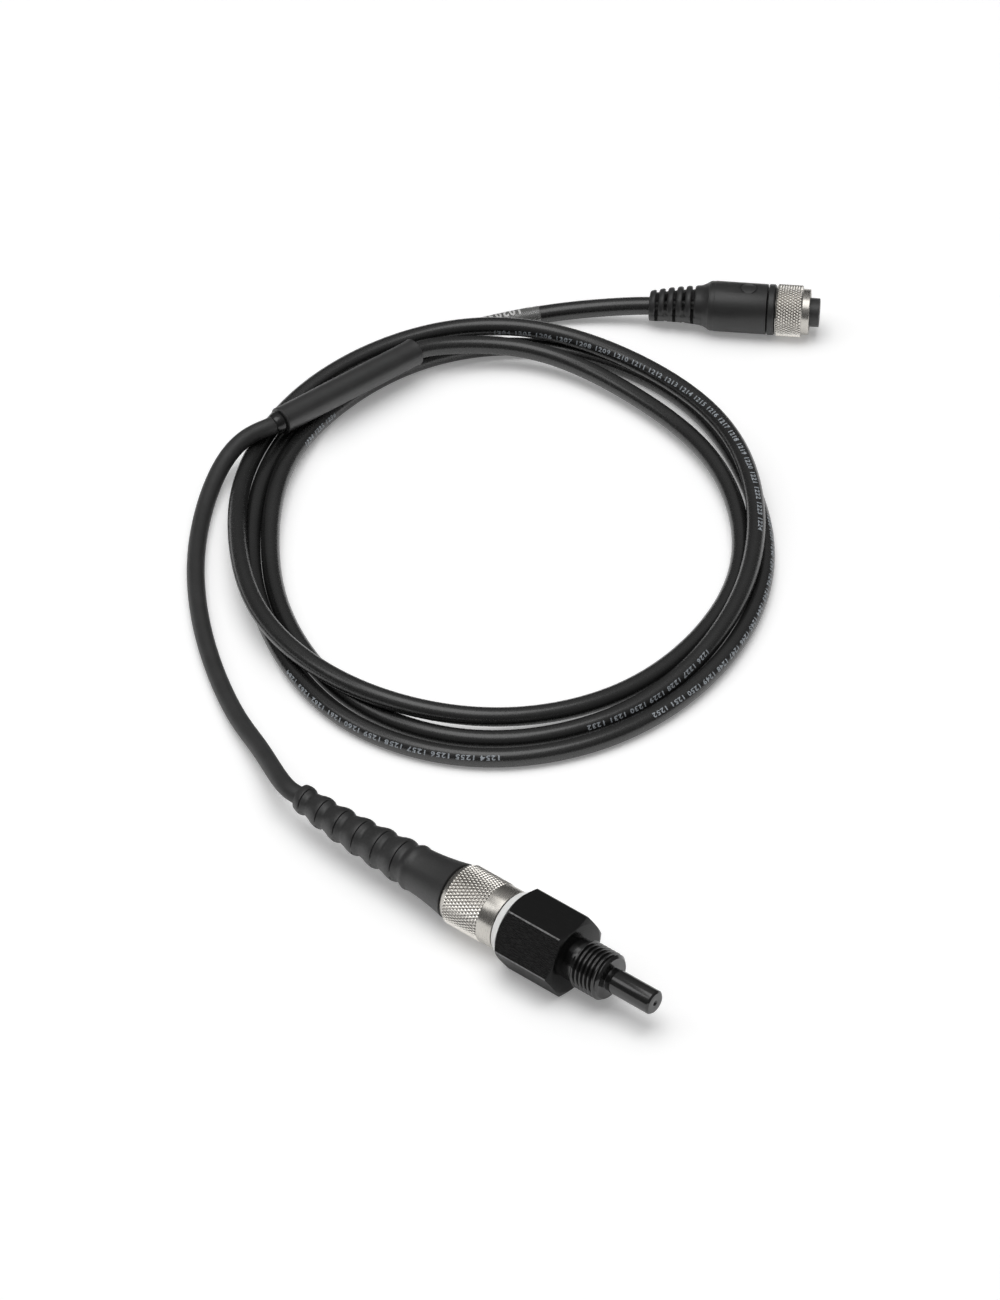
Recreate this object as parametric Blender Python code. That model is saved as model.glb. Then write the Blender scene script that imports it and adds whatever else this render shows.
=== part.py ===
"""Water temperature probe with a detachable lead, a spliced cable and a round plug.

+X runs along the probe towards its sensing tip and +Z is up. The hexagon lies on one flat,
the origin is under the middle of the probe, and the cable lies in three loose turns behind it.
Sizes are millimetres; MM turns them into metres.
"""
import math

import bmesh
import bpy
import numpy as np
from mathutils import Matrix, Vector

MM = 0.001
SEGMENTS = 40           # sides of the large turned pieces
INNER_SEGMENTS = 24     # sides of turned pieces that are hidden inside
SMALL_SEGMENTS = 10     # sides of pins and contacts
SEAT = 0.3              # gap kept between two pieces that touch

# Probe body, from the tip backwards
ROD_R = 3.175           # quarter inch tip rod
ROD_LEN = 13.6
ROD_CHAMFER = 0.45
CENTRE_R, CENTRE_DEPTH = 0.75, 0.8
UNDERCUT_R, UNDERCUT_LEN = 3.0, 1.6
THREAD_R = 6.35         # half inch thread, drawn at its major diameter
THREAD_LEN = 8.7
THREAD_CHAMFER = 0.75
NECK_R, NECK_LEN = 5.6, 2.6
HEX_AF = 19.05          # three quarter inch across flats
HEX_LEN = 18.0
HEX_CHAMFER_R = 9.35    # circle left on each face by the corner chamfers
BORE_R, BORE_WALL = 2.4, 4.0

# Receptacle in the back of the probe
BARREL_R, BARREL_LEN, BARREL_WALL = 6.6, 10.9, 1.4
SOCKET_DEPTH, STUB_STEP = 7.6, 0.1      # the stub in the probe is slimmer than the barrel
FLANGE_LEN, FLANGE_PROUD = 2.2, 0.1
PIN_R, PIN_COUNT = 0.5, 4

# Coupling nut, inner sleeve and boot on the lead
THREAD_CLEARANCE = 0.35
NUT_WALL, NUT_BAND_LEN = 1.1, 4.6
KNURL_PROUD, KNURL_LEN = 0.15, 10.7
NUT_BEVEL, NUT_BEVEL_LEN = 0.6, 1.7
NUT_LIP_STEP, NUT_LIP_LEN = 0.2, 2.6
INNER_FLANGE_LEN, INNER_NECK_LEN, INNER_WALL = 1.5, 9.4, 0.8
NECK_GROOVE_AT, NECK_GROOVE_LEN, NECK_GROOVE_DEPTH = 1.6, 1.8, 0.35
CONTACT_TAIL_LEN = 2.2
BOOT_LEN, BOOT_STEP, BOOT_WALL = 53.3, 0.1, 0.7
BOOT_SHOULDER_AT = 13.4
RIB_COUNT, RIB_PITCH, RIB_FIRST_AT = 6, 6.68, 17.3
RIB_STEP, RIB_TAPER = 0.35, 2.0         # below the shoulder, and from the first rib to the last
RIB_HEIGHT = 0.95
CREASE_DEPTH, CREASE_WIDTH = 0.35, 0.3
BOOT_TAIL_STEP = 0.45
BOOT_SWAY, BOOT_SAG = 2.0, 0.3      # how far the limp tail leans to the left and droops
BOOT_BEND_LEN = 24.0

# Cords
LEAD_D = 4.8
CABLE_D = 5.05
SLEEVE_R = 3.8
SLEEVE_FROM = (-164.34, 113.64, 10.45)
SLEEVE_TO = (-158.1, 162.5, 8.9)
EXIT_LEAN = 0.19        # how far the cable leans to +X where it leaves the sleeve
LEAD_ROUTE = [
    (-80.1, 11.7, 5.6), (-94.4, 19.0, 3.4), (-109.7, 28.1, 2.5), (-124.1, 38.4, 2.5),
    (-136.7, 49.3, 2.5), (-148.3, 61.5, 2.5), (-158.4, 74.9, 2.7), (-165.1, 86.7, 4.0),
    (-168.2, 96.4, 6.5), (-167.5, 104.3, 9.2)]
CABLE_ROUTE = [
    (-152.3, 173.0, 8.0), (-134.5, 187.2, 6.1), (-99.0, 190.4, 4.3), (-65.8, 180.8, 4.1),
    (-38.7, 157.1, 2.7), (-25.6, 124.7, 2.8), (-26.5, 89.4, 3.7), (-44.7, 59.6, 5.5),
    (-76.6, 44.3, 7.9), (-112.6, 49.6, 8.0), (-140.0, 69.2, 7.6), (-163.4, 99.6, 4.4),
    (-171.0, 131.7, 6.7), (-163.2, 167.6, 8.4),
    (-140.3, 192.6, 8.1), (-99.3, 199.3, 7.5), (-63.2, 186.8, 8.2), (-35.3, 158.7, 6.8),
    (-20.5, 123.8, 5.0), (-21.1, 86.0, 2.9), (-42.4, 54.0, 2.7), (-75.7, 44.6, 2.6),
    (-110.5, 56.3, 2.7), (-135.1, 76.5, 3.0), (-153.9, 102.5, 4.3), (-162.8, 132.1, 3.2),
    (-159.8, 165.6, 2.6),
    (-139.2, 192.0, 2.6), (-99.6, 200.9, 2.6), (-62.4, 186.6, 2.7), (-32.9, 160.4, 2.6),
    (-15.9, 124.8, 2.9), (-15.8, 82.6, 2.7), (-37.6, 48.8, 2.7), (-75.0, 37.9, 2.6),
    (-112.2, 51.1, 2.9), (-138.3, 72.4, 2.6), (-158.3, 100.4, 2.6), (-168.2, 131.8, 2.6),
    (-165.5, 166.5, 2.6), (-147.3, 204.7, 2.9)]

# Plug, from its tail forwards
PLUG_TAIL = (-124.6, 224.0)
PLUG_YAW = 33.6
RELIEF_LEN, RELIEF_BACK_R, RELIEF_FRONT_R = 14.65, 4.2, 5.5
RELIEF_CORE_R = 3.3
RELIEF_SAG = 1.5
RIDGE_PITCH, RIDGE_FIRST_AT, SLOT_WIDTH = 2.54, 2.1, 0.95
RIDGE_DIP = 0.55
TAPER_LEN = 4.6
PLUG_BODY_R, PLUG_BODY_LEN = 7.08, 14.3
DISC_R, DISC_DEPTH, DISC_AT = 2.35, 0.5, 28.2
COLLAR_LEN = 1.9
RING_R, RING_KNURL_LEN = 7.3, 7.4
RING_FRONT_R, RING_FRONT_LEN = 6.45, 2.1
RING_BEVEL = 0.45
NOSE_R, NOSE_LEN = 4.05, 2.7
NOSE_FLANGE_R, NOSE_FLANGE_LEN = 5.3, 1.3
RING_LIP_LEN = 2.3

# Stations that follow from the sizes above
AXIS_Z = HEX_AF / 2
BARREL_BORE_R = BARREL_R - BARREL_WALL
SOCKET_R = BARREL_R - STUB_STEP
INNER_FLANGE_R = BARREL_R - STUB_STEP
NUT_BORE_R = BARREL_R + THREAD_CLEARANCE
NUT_BAND_R = NUT_BORE_R + NUT_WALL
KNURL_R = NUT_BAND_R + KNURL_PROUD
NUT_BACK_R = KNURL_R - NUT_BEVEL
NUT_LIP_R = BARREL_BORE_R + NUT_LIP_STEP
FLANGE_FRONT_R = HEX_CHAMFER_R + FLANGE_PROUD
FLANGE_BACK_R = NUT_BAND_R + FLANGE_PROUD
INNER_NECK_R = NUT_LIP_R - SEAT
INSERT_REAR_R = INNER_NECK_R - INNER_WALL - SEAT
PIN_CIRCLE_R = INSERT_REAR_R * 0.6
BOOT_FACE_R = NUT_BACK_R - BOOT_STEP
BOOT_SHOULDER_R = NUT_LIP_R + BOOT_WALL
RIB_FRONT_R = BOOT_SHOULDER_R - RIB_STEP
RIB_BACK_R = RIB_FRONT_R - RIB_TAPER
BOOT_TAIL_R = RIB_BACK_R - BOOT_TAIL_STEP
PROBE_LEN = (ROD_LEN + THREAD_LEN + NECK_LEN + HEX_LEN + SEAT + FLANGE_LEN + SEAT
             + NUT_BAND_LEN + KNURL_LEN + NUT_BEVEL_LEN + SEAT + BOOT_LEN)
TIP_X = PROBE_LEN / 2
ROD_BASE_X = TIP_X - ROD_LEN
THREAD_END_X = ROD_BASE_X - THREAD_LEN
HEX_FRONT_X = THREAD_END_X - NECK_LEN
HEX_BACK_X = HEX_FRONT_X - HEX_LEN
FLANGE_X = HEX_BACK_X - SEAT
NUT_FRONT_X = FLANGE_X - FLANGE_LEN - SEAT
KNURL_FRONT_X = NUT_FRONT_X - NUT_BAND_LEN
KNURL_BACK_X = KNURL_FRONT_X - KNURL_LEN
NUT_BACK_X = KNURL_BACK_X - NUT_BEVEL_LEN
NUT_LIP_X = NUT_BACK_X + NUT_LIP_LEN
BOOT_FACE_X = NUT_BACK_X - SEAT
BOOT_TAIL_X = BOOT_FACE_X - BOOT_LEN
INNER_FRONT_X = NUT_LIP_X + SEAT + INNER_FLANGE_LEN
INNER_BACK_X = NUT_LIP_X - INNER_NECK_LEN
BARREL_BACK_X = FLANGE_X - FLANGE_LEN - BARREL_LEN
SEAL_LEN = BARREL_BACK_X - INNER_FRONT_X - 2 * SEAT
SHELL_FRONT_X = HEX_BACK_X + SOCKET_DEPTH - SEAT
BASE_FRONT_X = SHELL_FRONT_X - 2.0
BASE_BACK_X = BASE_FRONT_X - 7.0
INSERT_FRONT_X = BASE_BACK_X - SEAT
RING_BACK_AT = RELIEF_LEN + TAPER_LEN + PLUG_BODY_LEN + SEAT + COLLAR_LEN + SEAT
RING_FRONT_AT = RING_BACK_AT + RING_KNURL_LEN + RING_FRONT_LEN


# Helpers

def clear_scene():
    for obj in list(bpy.data.objects):
        bpy.data.objects.remove(obj, do_unlink=True)


def material(name, rgb, roughness, metallic=0.0):
    mat = bpy.data.materials.new(name)
    mat.use_nodes = True
    bsdf = mat.node_tree.nodes["Principled BSDF"]
    bsdf.inputs["Base Color"].default_value = (*rgb, 1.0)
    bsdf.inputs["Roughness"].default_value = roughness
    bsdf.inputs["Metallic"].default_value = metallic
    mat.diffuse_color = (*rgb, 1.0)
    return mat


def add_object(name, data, mat=None, parent=None, location=(0, 0, 0)):
    obj = bpy.data.objects.new(name, data)
    bpy.context.collection.objects.link(obj)
    if mat is not None:
        data.materials.append(mat)
    obj.parent = parent
    obj.location = location
    return obj


def turned_mesh(name, outline, sides):
    """Spin an outline of (x, r) points about X; an outline off the axis makes a ring."""
    bm = bmesh.new()
    verts = [bm.verts.new((x * MM, 0, r * MM)) for x, r in outline]
    closed = min(r for _, r in outline) > 0
    edges = [bm.edges.new(pair) for pair in zip(verts, verts[1:])]
    if closed:
        edges.append(bm.edges.new((verts[-1], verts[0])))
    bmesh.ops.spin(bm, geom=verts + edges, cent=(0, 0, 0), axis=(1, 0, 0),
                   angle=2 * math.pi, steps=sides, use_merge=True)
    bmesh.ops.remove_doubles(bm, verts=bm.verts, dist=1e-6)
    bmesh.ops.recalc_face_normals(bm, faces=bm.faces)
    mesh = bpy.data.meshes.new(name)
    bm.to_mesh(mesh)
    bm.free()
    for poly in mesh.polygons:
        poly.use_smooth = True
    mesh.set_sharp_from_angle(angle=math.radians(30))
    return mesh


def turned(name, outline, mat=None, parent=None, location=(0, 0, 0), sides=SEGMENTS):
    return add_object(name, turned_mesh(name, outline, sides), mat, parent, location)


def arc(cx, cr, radius, start, end, steps):
    """Points on an arc in the (x, r) plane; angles in degrees from +X towards +r."""
    angles = [math.radians(start + (end - start) * i / steps) for i in range(steps + 1)]
    return [(cx + radius * math.cos(a), cr + radius * math.sin(a)) for a in angles]


def ring_seal(name, x, length, r_inner, r_outer, mat, parent=None, location=(0, 0, 0)):
    """An O-ring of oval section that fills a groove length by (r_outer - r_inner)."""
    half_x, half_r = length / 2, (r_outer - r_inner) / 2
    outline = [(x + half_x * math.cos(a), r_inner + half_r * (1 + math.sin(a)))
               for a in np.linspace(0, 2 * math.pi, 8, endpoint=False)]
    return turned(name, outline, mat, parent, location, sides=INNER_SEGMENTS)


def cut(obj, cutter, operation='DIFFERENCE'):
    """Boolean with a hidden cutter that follows the object."""
    cutter.parent = obj.parent
    cutter.hide_render = True
    cutter.display_type = 'WIRE'
    mod = obj.modifiers.new(cutter.name, 'BOOLEAN')
    mod.operation = operation
    mod.solver = 'EXACT'
    mod.object = cutter


def bend(mesh, start_x, length, sway, sag):
    """Lean the part of a mesh behind start_x to the side and down, growing as a square."""
    for v in mesh.vertices:
        t = max(0.0, (start_x * MM - v.co.x) / (length * MM))
        v.co.y += sway * MM * t * t
        v.co.z -= sag * MM * t * t


def smooth_route(points, per_span, radius):
    """Read points from a natural cubic spline through the route's own points.

    None lies lower than a cord of this radius that rests on the table.
    """
    pts = np.array(points, float)
    t = np.concatenate([[0.0], np.cumsum(np.sqrt(np.linalg.norm(np.diff(pts, axis=0), axis=1)))])
    h, n = np.diff(t), len(t)
    system, right = np.eye(n), np.zeros((n, 3))
    for i in range(1, n - 1):
        system[i, i - 1:i + 2] = h[i - 1], 2 * (h[i - 1] + h[i]), h[i]
        right[i] = 6 * ((pts[i + 1] - pts[i]) / h[i] - (pts[i] - pts[i - 1]) / h[i - 1])
    bends = np.linalg.solve(system, right)
    out = []
    for i in range(n - 1):
        for u in np.arange(per_span) / per_span:
            a, b, k = 1 - u, u, h[i] ** 2 / 6
            out.append(a * pts[i] + b * pts[i + 1]
                       + k * ((a ** 3 - a) * bends[i] + (b ** 3 - b) * bends[i + 1]))
    out.append(pts[-1])
    return [Vector((x, y, max(z, radius))) for x, y, z in out]


def tube(name, points, diameter, mat, parent=None, location=(0, 0, 0), resolution=3):
    curve = bpy.data.curves.new(name, 'CURVE')
    curve.dimensions = '3D'
    curve.bevel_depth = diameter / 2 * MM
    curve.bevel_resolution = resolution
    curve.use_fill_caps = True
    spline = curve.splines.new('POLY')
    spline.points.add(len(points) - 1)
    for target, p in zip(spline.points, points):
        target.co = (*(Vector(p) * MM), 1.0)
        target.radius = 1.0
    spline.use_smooth = True
    return add_object(name, curve, mat, parent, location)


def pin_places():
    """The contact circle, one contact on each diagonal."""
    for i in range(PIN_COUNT):
        a = math.radians(45 + 360 * i / PIN_COUNT)
        yield i + 1, PIN_CIRCLE_R * math.cos(a), PIN_CIRCLE_R * math.sin(a)


def drill_contacts(obj, x_from, x_to, radius, base):
    """Cut one hole per contact through an insert, as a single cutter."""
    bm = bmesh.new()
    length = abs(x_to - x_from)
    for _, y, z in pin_places():
        place = Matrix.Translation(Vector(((x_from + x_to) / 2, y, z)) * MM) @ \
            Matrix.Rotation(math.pi / 2, 4, 'Y')
        bmesh.ops.create_cone(bm, cap_ends=True, segments=12, radius1=radius * MM,
                              radius2=radius * MM, depth=length * MM, matrix=place)
    mesh = bpy.data.meshes.new(obj.name + "_drill")
    bm.to_mesh(mesh)
    bm.free()
    cut(obj, add_object(obj.name + "_drill", mesh, location=base))


# Probe

def hex_prism(name, length, x_back, location):
    """A hexagon bar along X that lies on one flat."""
    bm = bmesh.new()
    corner_r = HEX_AF / 2 / math.cos(math.pi / 6)
    place = Matrix.Translation(Vector((x_back + length / 2, 0, 0)) * MM) @ \
        Matrix.Rotation(math.pi / 2, 4, 'Y')
    bmesh.ops.create_cone(bm, cap_ends=True, segments=6, radius1=corner_r * MM,
                          radius2=corner_r * MM, depth=length * MM, matrix=place)
    mesh = bpy.data.meshes.new(name)
    bm.to_mesh(mesh)
    bm.free()
    return add_object(name, mesh, location=location)


def probe_outline():
    """Outside of the turned bar from tip to back, with the hexagon at its corner radius."""
    corner_r = HEX_AF / 2 / math.cos(math.pi / 6) + 0.05
    rise = corner_r - HEX_CHAMFER_R
    return [
        (TIP_X - CENTRE_DEPTH, 0), (TIP_X, CENTRE_R), (TIP_X, ROD_R - ROD_CHAMFER),
        (TIP_X - ROD_CHAMFER, ROD_R), (ROD_BASE_X + UNDERCUT_LEN, ROD_R),
        (ROD_BASE_X + UNDERCUT_LEN - 0.2, UNDERCUT_R), (ROD_BASE_X, UNDERCUT_R),
        (ROD_BASE_X, THREAD_R - THREAD_CHAMFER), (ROD_BASE_X - THREAD_CHAMFER, THREAD_R),
        (THREAD_END_X, THREAD_R), (THREAD_END_X - 0.5, NECK_R), (HEX_FRONT_X, NECK_R),
        (HEX_FRONT_X, HEX_CHAMFER_R), (HEX_FRONT_X - rise * 0.55, corner_r),
        (HEX_BACK_X + rise * 0.75, corner_r), (HEX_BACK_X, HEX_CHAMFER_R),
        (HEX_BACK_X, SOCKET_R), (HEX_BACK_X + SOCKET_DEPTH, SOCKET_R),
        (HEX_BACK_X + SOCKET_DEPTH, BORE_R), (TIP_X - BORE_WALL - BORE_R * 0.6, BORE_R),
        (TIP_X - BORE_WALL, 0)]


def make_probe_body(mat):
    """One turned piece; a hexagon bar trims its round corners back to six flats."""
    at = (0, 0, AXIS_Z * MM)
    body = turned("probe_body", probe_outline(), mat, location=at)
    cut(body, hex_prism("hex_bar", TIP_X - HEX_BACK_X + 2, HEX_BACK_X - 1, at), 'INTERSECT')
    return body


def join_meshes(target, other):
    """Move the other mesh into the target as a second shell."""
    bm = bmesh.new()
    bm.from_mesh(target.data)
    bm.from_mesh(other.data)
    bm.to_mesh(target.data)
    bm.free()
    bpy.data.objects.remove(other, do_unlink=True)


def make_sensor(mats):
    """Sensing element, its two wires and the twin-bore tube that keeps them apart."""
    at = (0, 0, AXIS_Z * MM)
    bead_back = TIP_X - BORE_WALL - 5.4
    tube_front, tube_back = bead_back - 1.2, HEX_BACK_X + SOCKET_DEPTH + 0.8
    hole_y, hole_r, wire_d = 0.95, 0.55, 0.5
    nose = arc(bead_back + 2.6, 0, 1.1, 0, 90, 4)
    turned("sensing_element", nose + [(bead_back, 1.1), (bead_back, 0)], mats["element"],
           location=at, sides=SMALL_SEGMENTS)
    insulator = turned("wire_insulator", [(tube_back, 0), (tube_back, BORE_R - SEAT),
                                          (tube_front, BORE_R - SEAT), (tube_front, 0)],
                       mats["ceramic"], location=at, sides=16)
    bm = bmesh.new()
    for side in (-1, 1):
        place = Matrix.Translation(Vector(((tube_front + tube_back) / 2, side * hole_y, 0)) * MM) \
            @ Matrix.Rotation(math.pi / 2, 4, 'Y')
        bmesh.ops.create_cone(bm, cap_ends=True, segments=10, radius1=hole_r * MM,
                              radius2=hole_r * MM, depth=(tube_front - tube_back + 2) * MM,
                              matrix=place)
    mesh = bpy.data.meshes.new("twin_bore")
    bm.to_mesh(mesh)
    bm.free()
    cut(insulator, add_object("twin_bore", mesh, location=at))
    pin_end = SHELL_FRONT_X - 0.9
    places = {n: (y, z) for n, y, z in pin_places()}
    for index, (side, pin) in enumerate(((1, 1), (-1, 2)), start=1):
        y, z = places[pin]
        route = [(bead_back - SEAT, side * 0.6, 0), (tube_front, side * hole_y, 0),
                 (tube_back, side * hole_y, 0), (tube_back - 0.6, side * hole_y, 0),
                 (pin_end + SEAT, y, z)]
        tube(f"element_wire_{index}", route, wire_d, mats["tinned"], location=at, resolution=2)


# Receptacle

def make_receptacle(mats):
    """Nickel shell seated in the back of the probe, its insert and four contact pins."""
    at = (0, 0, AXIS_Z * MM)
    stub_r = SOCKET_R - SEAT
    turned("receptacle_shell", [
        (SHELL_FRONT_X, BARREL_BORE_R), (SHELL_FRONT_X, stub_r), (FLANGE_X, stub_r),
        (FLANGE_X, FLANGE_FRONT_R), (FLANGE_X - FLANGE_LEN * 0.8, FLANGE_BACK_R + 0.15),
        (FLANGE_X - FLANGE_LEN, FLANGE_BACK_R - 0.1), (FLANGE_X - FLANGE_LEN, BARREL_R - 0.5),
        (FLANGE_X - FLANGE_LEN - 1.2, BARREL_R - 0.5), (FLANGE_X - FLANGE_LEN - 1.6, BARREL_R),
        (BARREL_BACK_X + 0.6, BARREL_R), (BARREL_BACK_X, BARREL_R - 0.6),
        (BARREL_BACK_X, BARREL_BORE_R)], mats["nickel"], location=at)
    base = turned("receptacle_insert", [
        (BASE_FRONT_X, 0), (BASE_FRONT_X, BARREL_BORE_R - SEAT),
        (BASE_BACK_X, BARREL_BORE_R - SEAT), (BASE_BACK_X, 0)],
        mats["insert"], location=at, sides=INNER_SEGMENTS)
    drill_contacts(base, BASE_FRONT_X + 1, BASE_BACK_X - 1, PIN_R + SEAT, at)
    cup_r, tip_x = PIN_R + 0.15, BASE_BACK_X - 7.2
    pin = turned_mesh("contact_pin", [
        (SHELL_FRONT_X - 0.9, 0), (SHELL_FRONT_X - 0.9, cup_r), (BASE_FRONT_X - 0.2, cup_r),
        (BASE_FRONT_X - 0.4, PIN_R), (tip_x + 0.5, PIN_R), (tip_x, PIN_R * 0.4), (tip_x, 0)],
        SMALL_SEGMENTS)
    for n, y, z in pin_places():
        add_object(f"contact_pin_{n}", pin.copy(), mats["gold"],
                   location=(0, y * MM, (AXIS_Z + z) * MM))


def socket_outline(mouth, end, outer_r, bore_r, bore_depth):
    """A turned contact socket with its mouth at one end and its solder tail at the other."""
    return [(mouth - bore_depth, 0), (mouth - bore_depth, bore_r), (mouth, bore_r),
            (mouth, outer_r), (end + CONTACT_TAIL_LEN + 0.2, outer_r),
            (end + CONTACT_TAIL_LEN, outer_r - 0.4),
            (end, outer_r - 0.4), (end, 0)]


# Cable connector

def make_connector(mats):
    """Coupling nut, inner sleeve, insert with four sockets, and the face seal."""
    at = (0, 0, AXIS_Z * MM)
    groove_x, groove_r = INNER_BACK_X + NECK_GROOVE_AT, INNER_NECK_R - NECK_GROOVE_DEPTH
    turned("coupling_nut", [
        (NUT_FRONT_X, NUT_BORE_R), (NUT_FRONT_X, NUT_BAND_R - 0.2),
        (NUT_FRONT_X - 0.2, NUT_BAND_R), (KNURL_FRONT_X, NUT_BAND_R), (KNURL_FRONT_X, KNURL_R),
        (KNURL_BACK_X, KNURL_R), (NUT_BACK_X, NUT_BACK_R), (NUT_BACK_X, NUT_LIP_R),
        (NUT_LIP_X, NUT_LIP_R), (NUT_LIP_X, NUT_BORE_R)], mats["nickel"], location=at, sides=48)
    turned("inner_sleeve", [
        (INNER_FRONT_X, INSERT_REAR_R + SEAT), (INNER_FRONT_X, INNER_FLANGE_R),
        (NUT_LIP_X + SEAT, INNER_FLANGE_R), (NUT_LIP_X + SEAT, INNER_NECK_R),
        (groove_x + NECK_GROOVE_LEN, INNER_NECK_R), (groove_x + NECK_GROOVE_LEN - 0.4, groove_r),
        (groove_x + 0.4, groove_r), (groove_x, INNER_NECK_R),
        (INNER_BACK_X, INNER_NECK_R), (INNER_BACK_X, INSERT_REAR_R + SEAT)],
        mats["nickel"], location=at, sides=INNER_SEGMENTS)
    step_x = INNER_FRONT_X + SEAT
    insert = turned("socket_insert", [
        (INSERT_FRONT_X, 0), (INSERT_FRONT_X, BARREL_BORE_R - SEAT - 0.3),
        (INSERT_FRONT_X - 0.3, BARREL_BORE_R - SEAT), (step_x, BARREL_BORE_R - SEAT),
        (step_x, INSERT_REAR_R), (INNER_BACK_X, INSERT_REAR_R), (INNER_BACK_X, 0)],
        mats["insert"], location=at, sides=INNER_SEGMENTS)
    drill_contacts(insert, INSERT_FRONT_X + 1, INNER_BACK_X - 1, PIN_R + 2 * SEAT, at)
    socket = turned_mesh("contact_socket", socket_outline(
        INSERT_FRONT_X - 0.5, INNER_BACK_X + 1.0, PIN_R + SEAT, PIN_R + 0.12, 8.0),
        SMALL_SEGMENTS)
    for n, y, z in pin_places():
        add_object(f"contact_socket_{n}", socket.copy(), mats["gold"],
                   location=(0, y * MM, (AXIS_Z + z) * MM))
    ring_seal("face_seal", (BARREL_BACK_X + INNER_FRONT_X) / 2, SEAL_LEN, BARREL_BORE_R,
              INNER_FLANGE_R, mats["seal"], location=at)


def boot_outline():
    """Flare behind the nut, a shoulder, six skewed ribs each with a crease, and the tail."""
    def back(distance):
        return BOOT_FACE_X - distance

    flare = [(back(BOOT_SHOULDER_AT * u),
              BOOT_FACE_R + (BOOT_SHOULDER_R - 0.25 - BOOT_FACE_R) * (1 - (1 - u) ** 1.7))
             for u in (0, 0.15, 0.3, 0.5, 0.7, 0.85)]
    bore_x, bore_r = INNER_BACK_X - SEAT, INNER_NECK_R + SEAT
    points = [(bore_x, 0), (bore_x, bore_r), (BOOT_FACE_X, bore_r)]
    points += flare + [(back(BOOT_SHOULDER_AT - 0.6), BOOT_SHOULDER_R - 0.05),
                       (back(BOOT_SHOULDER_AT + 0.4), BOOT_SHOULDER_R),
                       (back(BOOT_SHOULDER_AT + 1.3), BOOT_SHOULDER_R - 0.35)]
    for i in range(RIB_COUNT):
        at = RIB_FIRST_AT + i * RIB_PITCH
        crest = RIB_FRONT_R + (RIB_BACK_R - RIB_FRONT_R) * i / (RIB_COUNT - 1)
        slope = (RIB_BACK_R - RIB_FRONT_R) / ((RIB_COUNT - 1) * RIB_PITCH)
        points += [(back(at - 1.3), crest - RIB_HEIGHT + 0.05), (back(at - 0.7), crest - 0.5),
                   (back(at - 0.1), crest - 0.05), (back(at), crest - CREASE_DEPTH),
                   (back(at + CREASE_WIDTH), crest - CREASE_DEPTH),
                   (back(at + CREASE_WIDTH + 0.1), crest), (back(at + 1.3), crest + 0.02),
                   (back(at + 2.2), crest - 0.3)]
        if i < RIB_COUNT - 1:
            points += [(back(at + 3.3), crest - RIB_HEIGHT * 0.75 + slope * 2),
                       (back(at + 4.6), crest - RIB_HEIGHT + slope * 4)]
    return points + [(BOOT_TAIL_X, BOOT_TAIL_R), (BOOT_TAIL_X, 0)]


def make_boot(mat):
    boot = turned("boot", boot_outline(), mat, location=(0, 0, AXIS_Z * MM), sides=28)
    bend(boot.data, BOOT_TAIL_X + BOOT_BEND_LEN, BOOT_BEND_LEN, BOOT_SWAY, BOOT_SAG)
    return boot


# Cords

def boot_tail():
    """Centre of the boot's tail face and the direction the lead leaves it in."""
    rate = 1 / BOOT_BEND_LEN
    out = Vector((-1, BOOT_SWAY * rate, -BOOT_SAG * rate)).normalized()
    return Vector((BOOT_TAIL_X, BOOT_SWAY, AXIS_Z - BOOT_SAG)), out


def plug_tail():
    """Centre of the plug's tail face and the direction the cable enters it in."""
    yaw = math.radians(PLUG_YAW)
    rise = RELIEF_SAG / RELIEF_LEN
    inward = Vector((math.cos(yaw), math.sin(yaw), rise)).normalized()
    return Vector((*PLUG_TAIL, RING_R - RELIEF_SAG)), inward


def make_cords(mats):
    """Lead, splice sleeve and cable; each end is straight and stands SEAT off its neighbour."""
    start, finish = Vector(SLEEVE_FROM), Vector(SLEEVE_TO)
    along = (finish - start).normalized()
    tail, out = boot_tail()
    lead = [tail + out * (SEAT + 0.1), tail + out * 5] + [Vector(p) for p in LEAD_ROUTE] \
        + [start - along * 3.5, start - along * SEAT]
    tube("lead_cable", smooth_route(lead, 2, LEAD_D / 2), LEAD_D, mats["lead"])
    round_end = 0.5
    sleeve = [start, start + along * round_end, (start * 3 + finish) / 4, (start + finish) / 2,
              (start + finish * 3) / 4, finish - along * round_end, finish]
    tube("splice_sleeve", sleeve, 2 * SLEEVE_R, mats["sleeve"])
    plug, inward = plug_tail()
    leave = (along + Vector((EXIT_LEAN, 0, 0))).normalized()
    cable = [finish + leave * 2 * SEAT, finish + leave * 3] + [Vector(p) for p in CABLE_ROUTE] \
        + [plug - inward * 4, plug - inward * (SEAT + 0.1)]
    tube("main_cable", smooth_route(cable, 2, CABLE_D / 2), CABLE_D, mats["cable"])


# Plug

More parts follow.
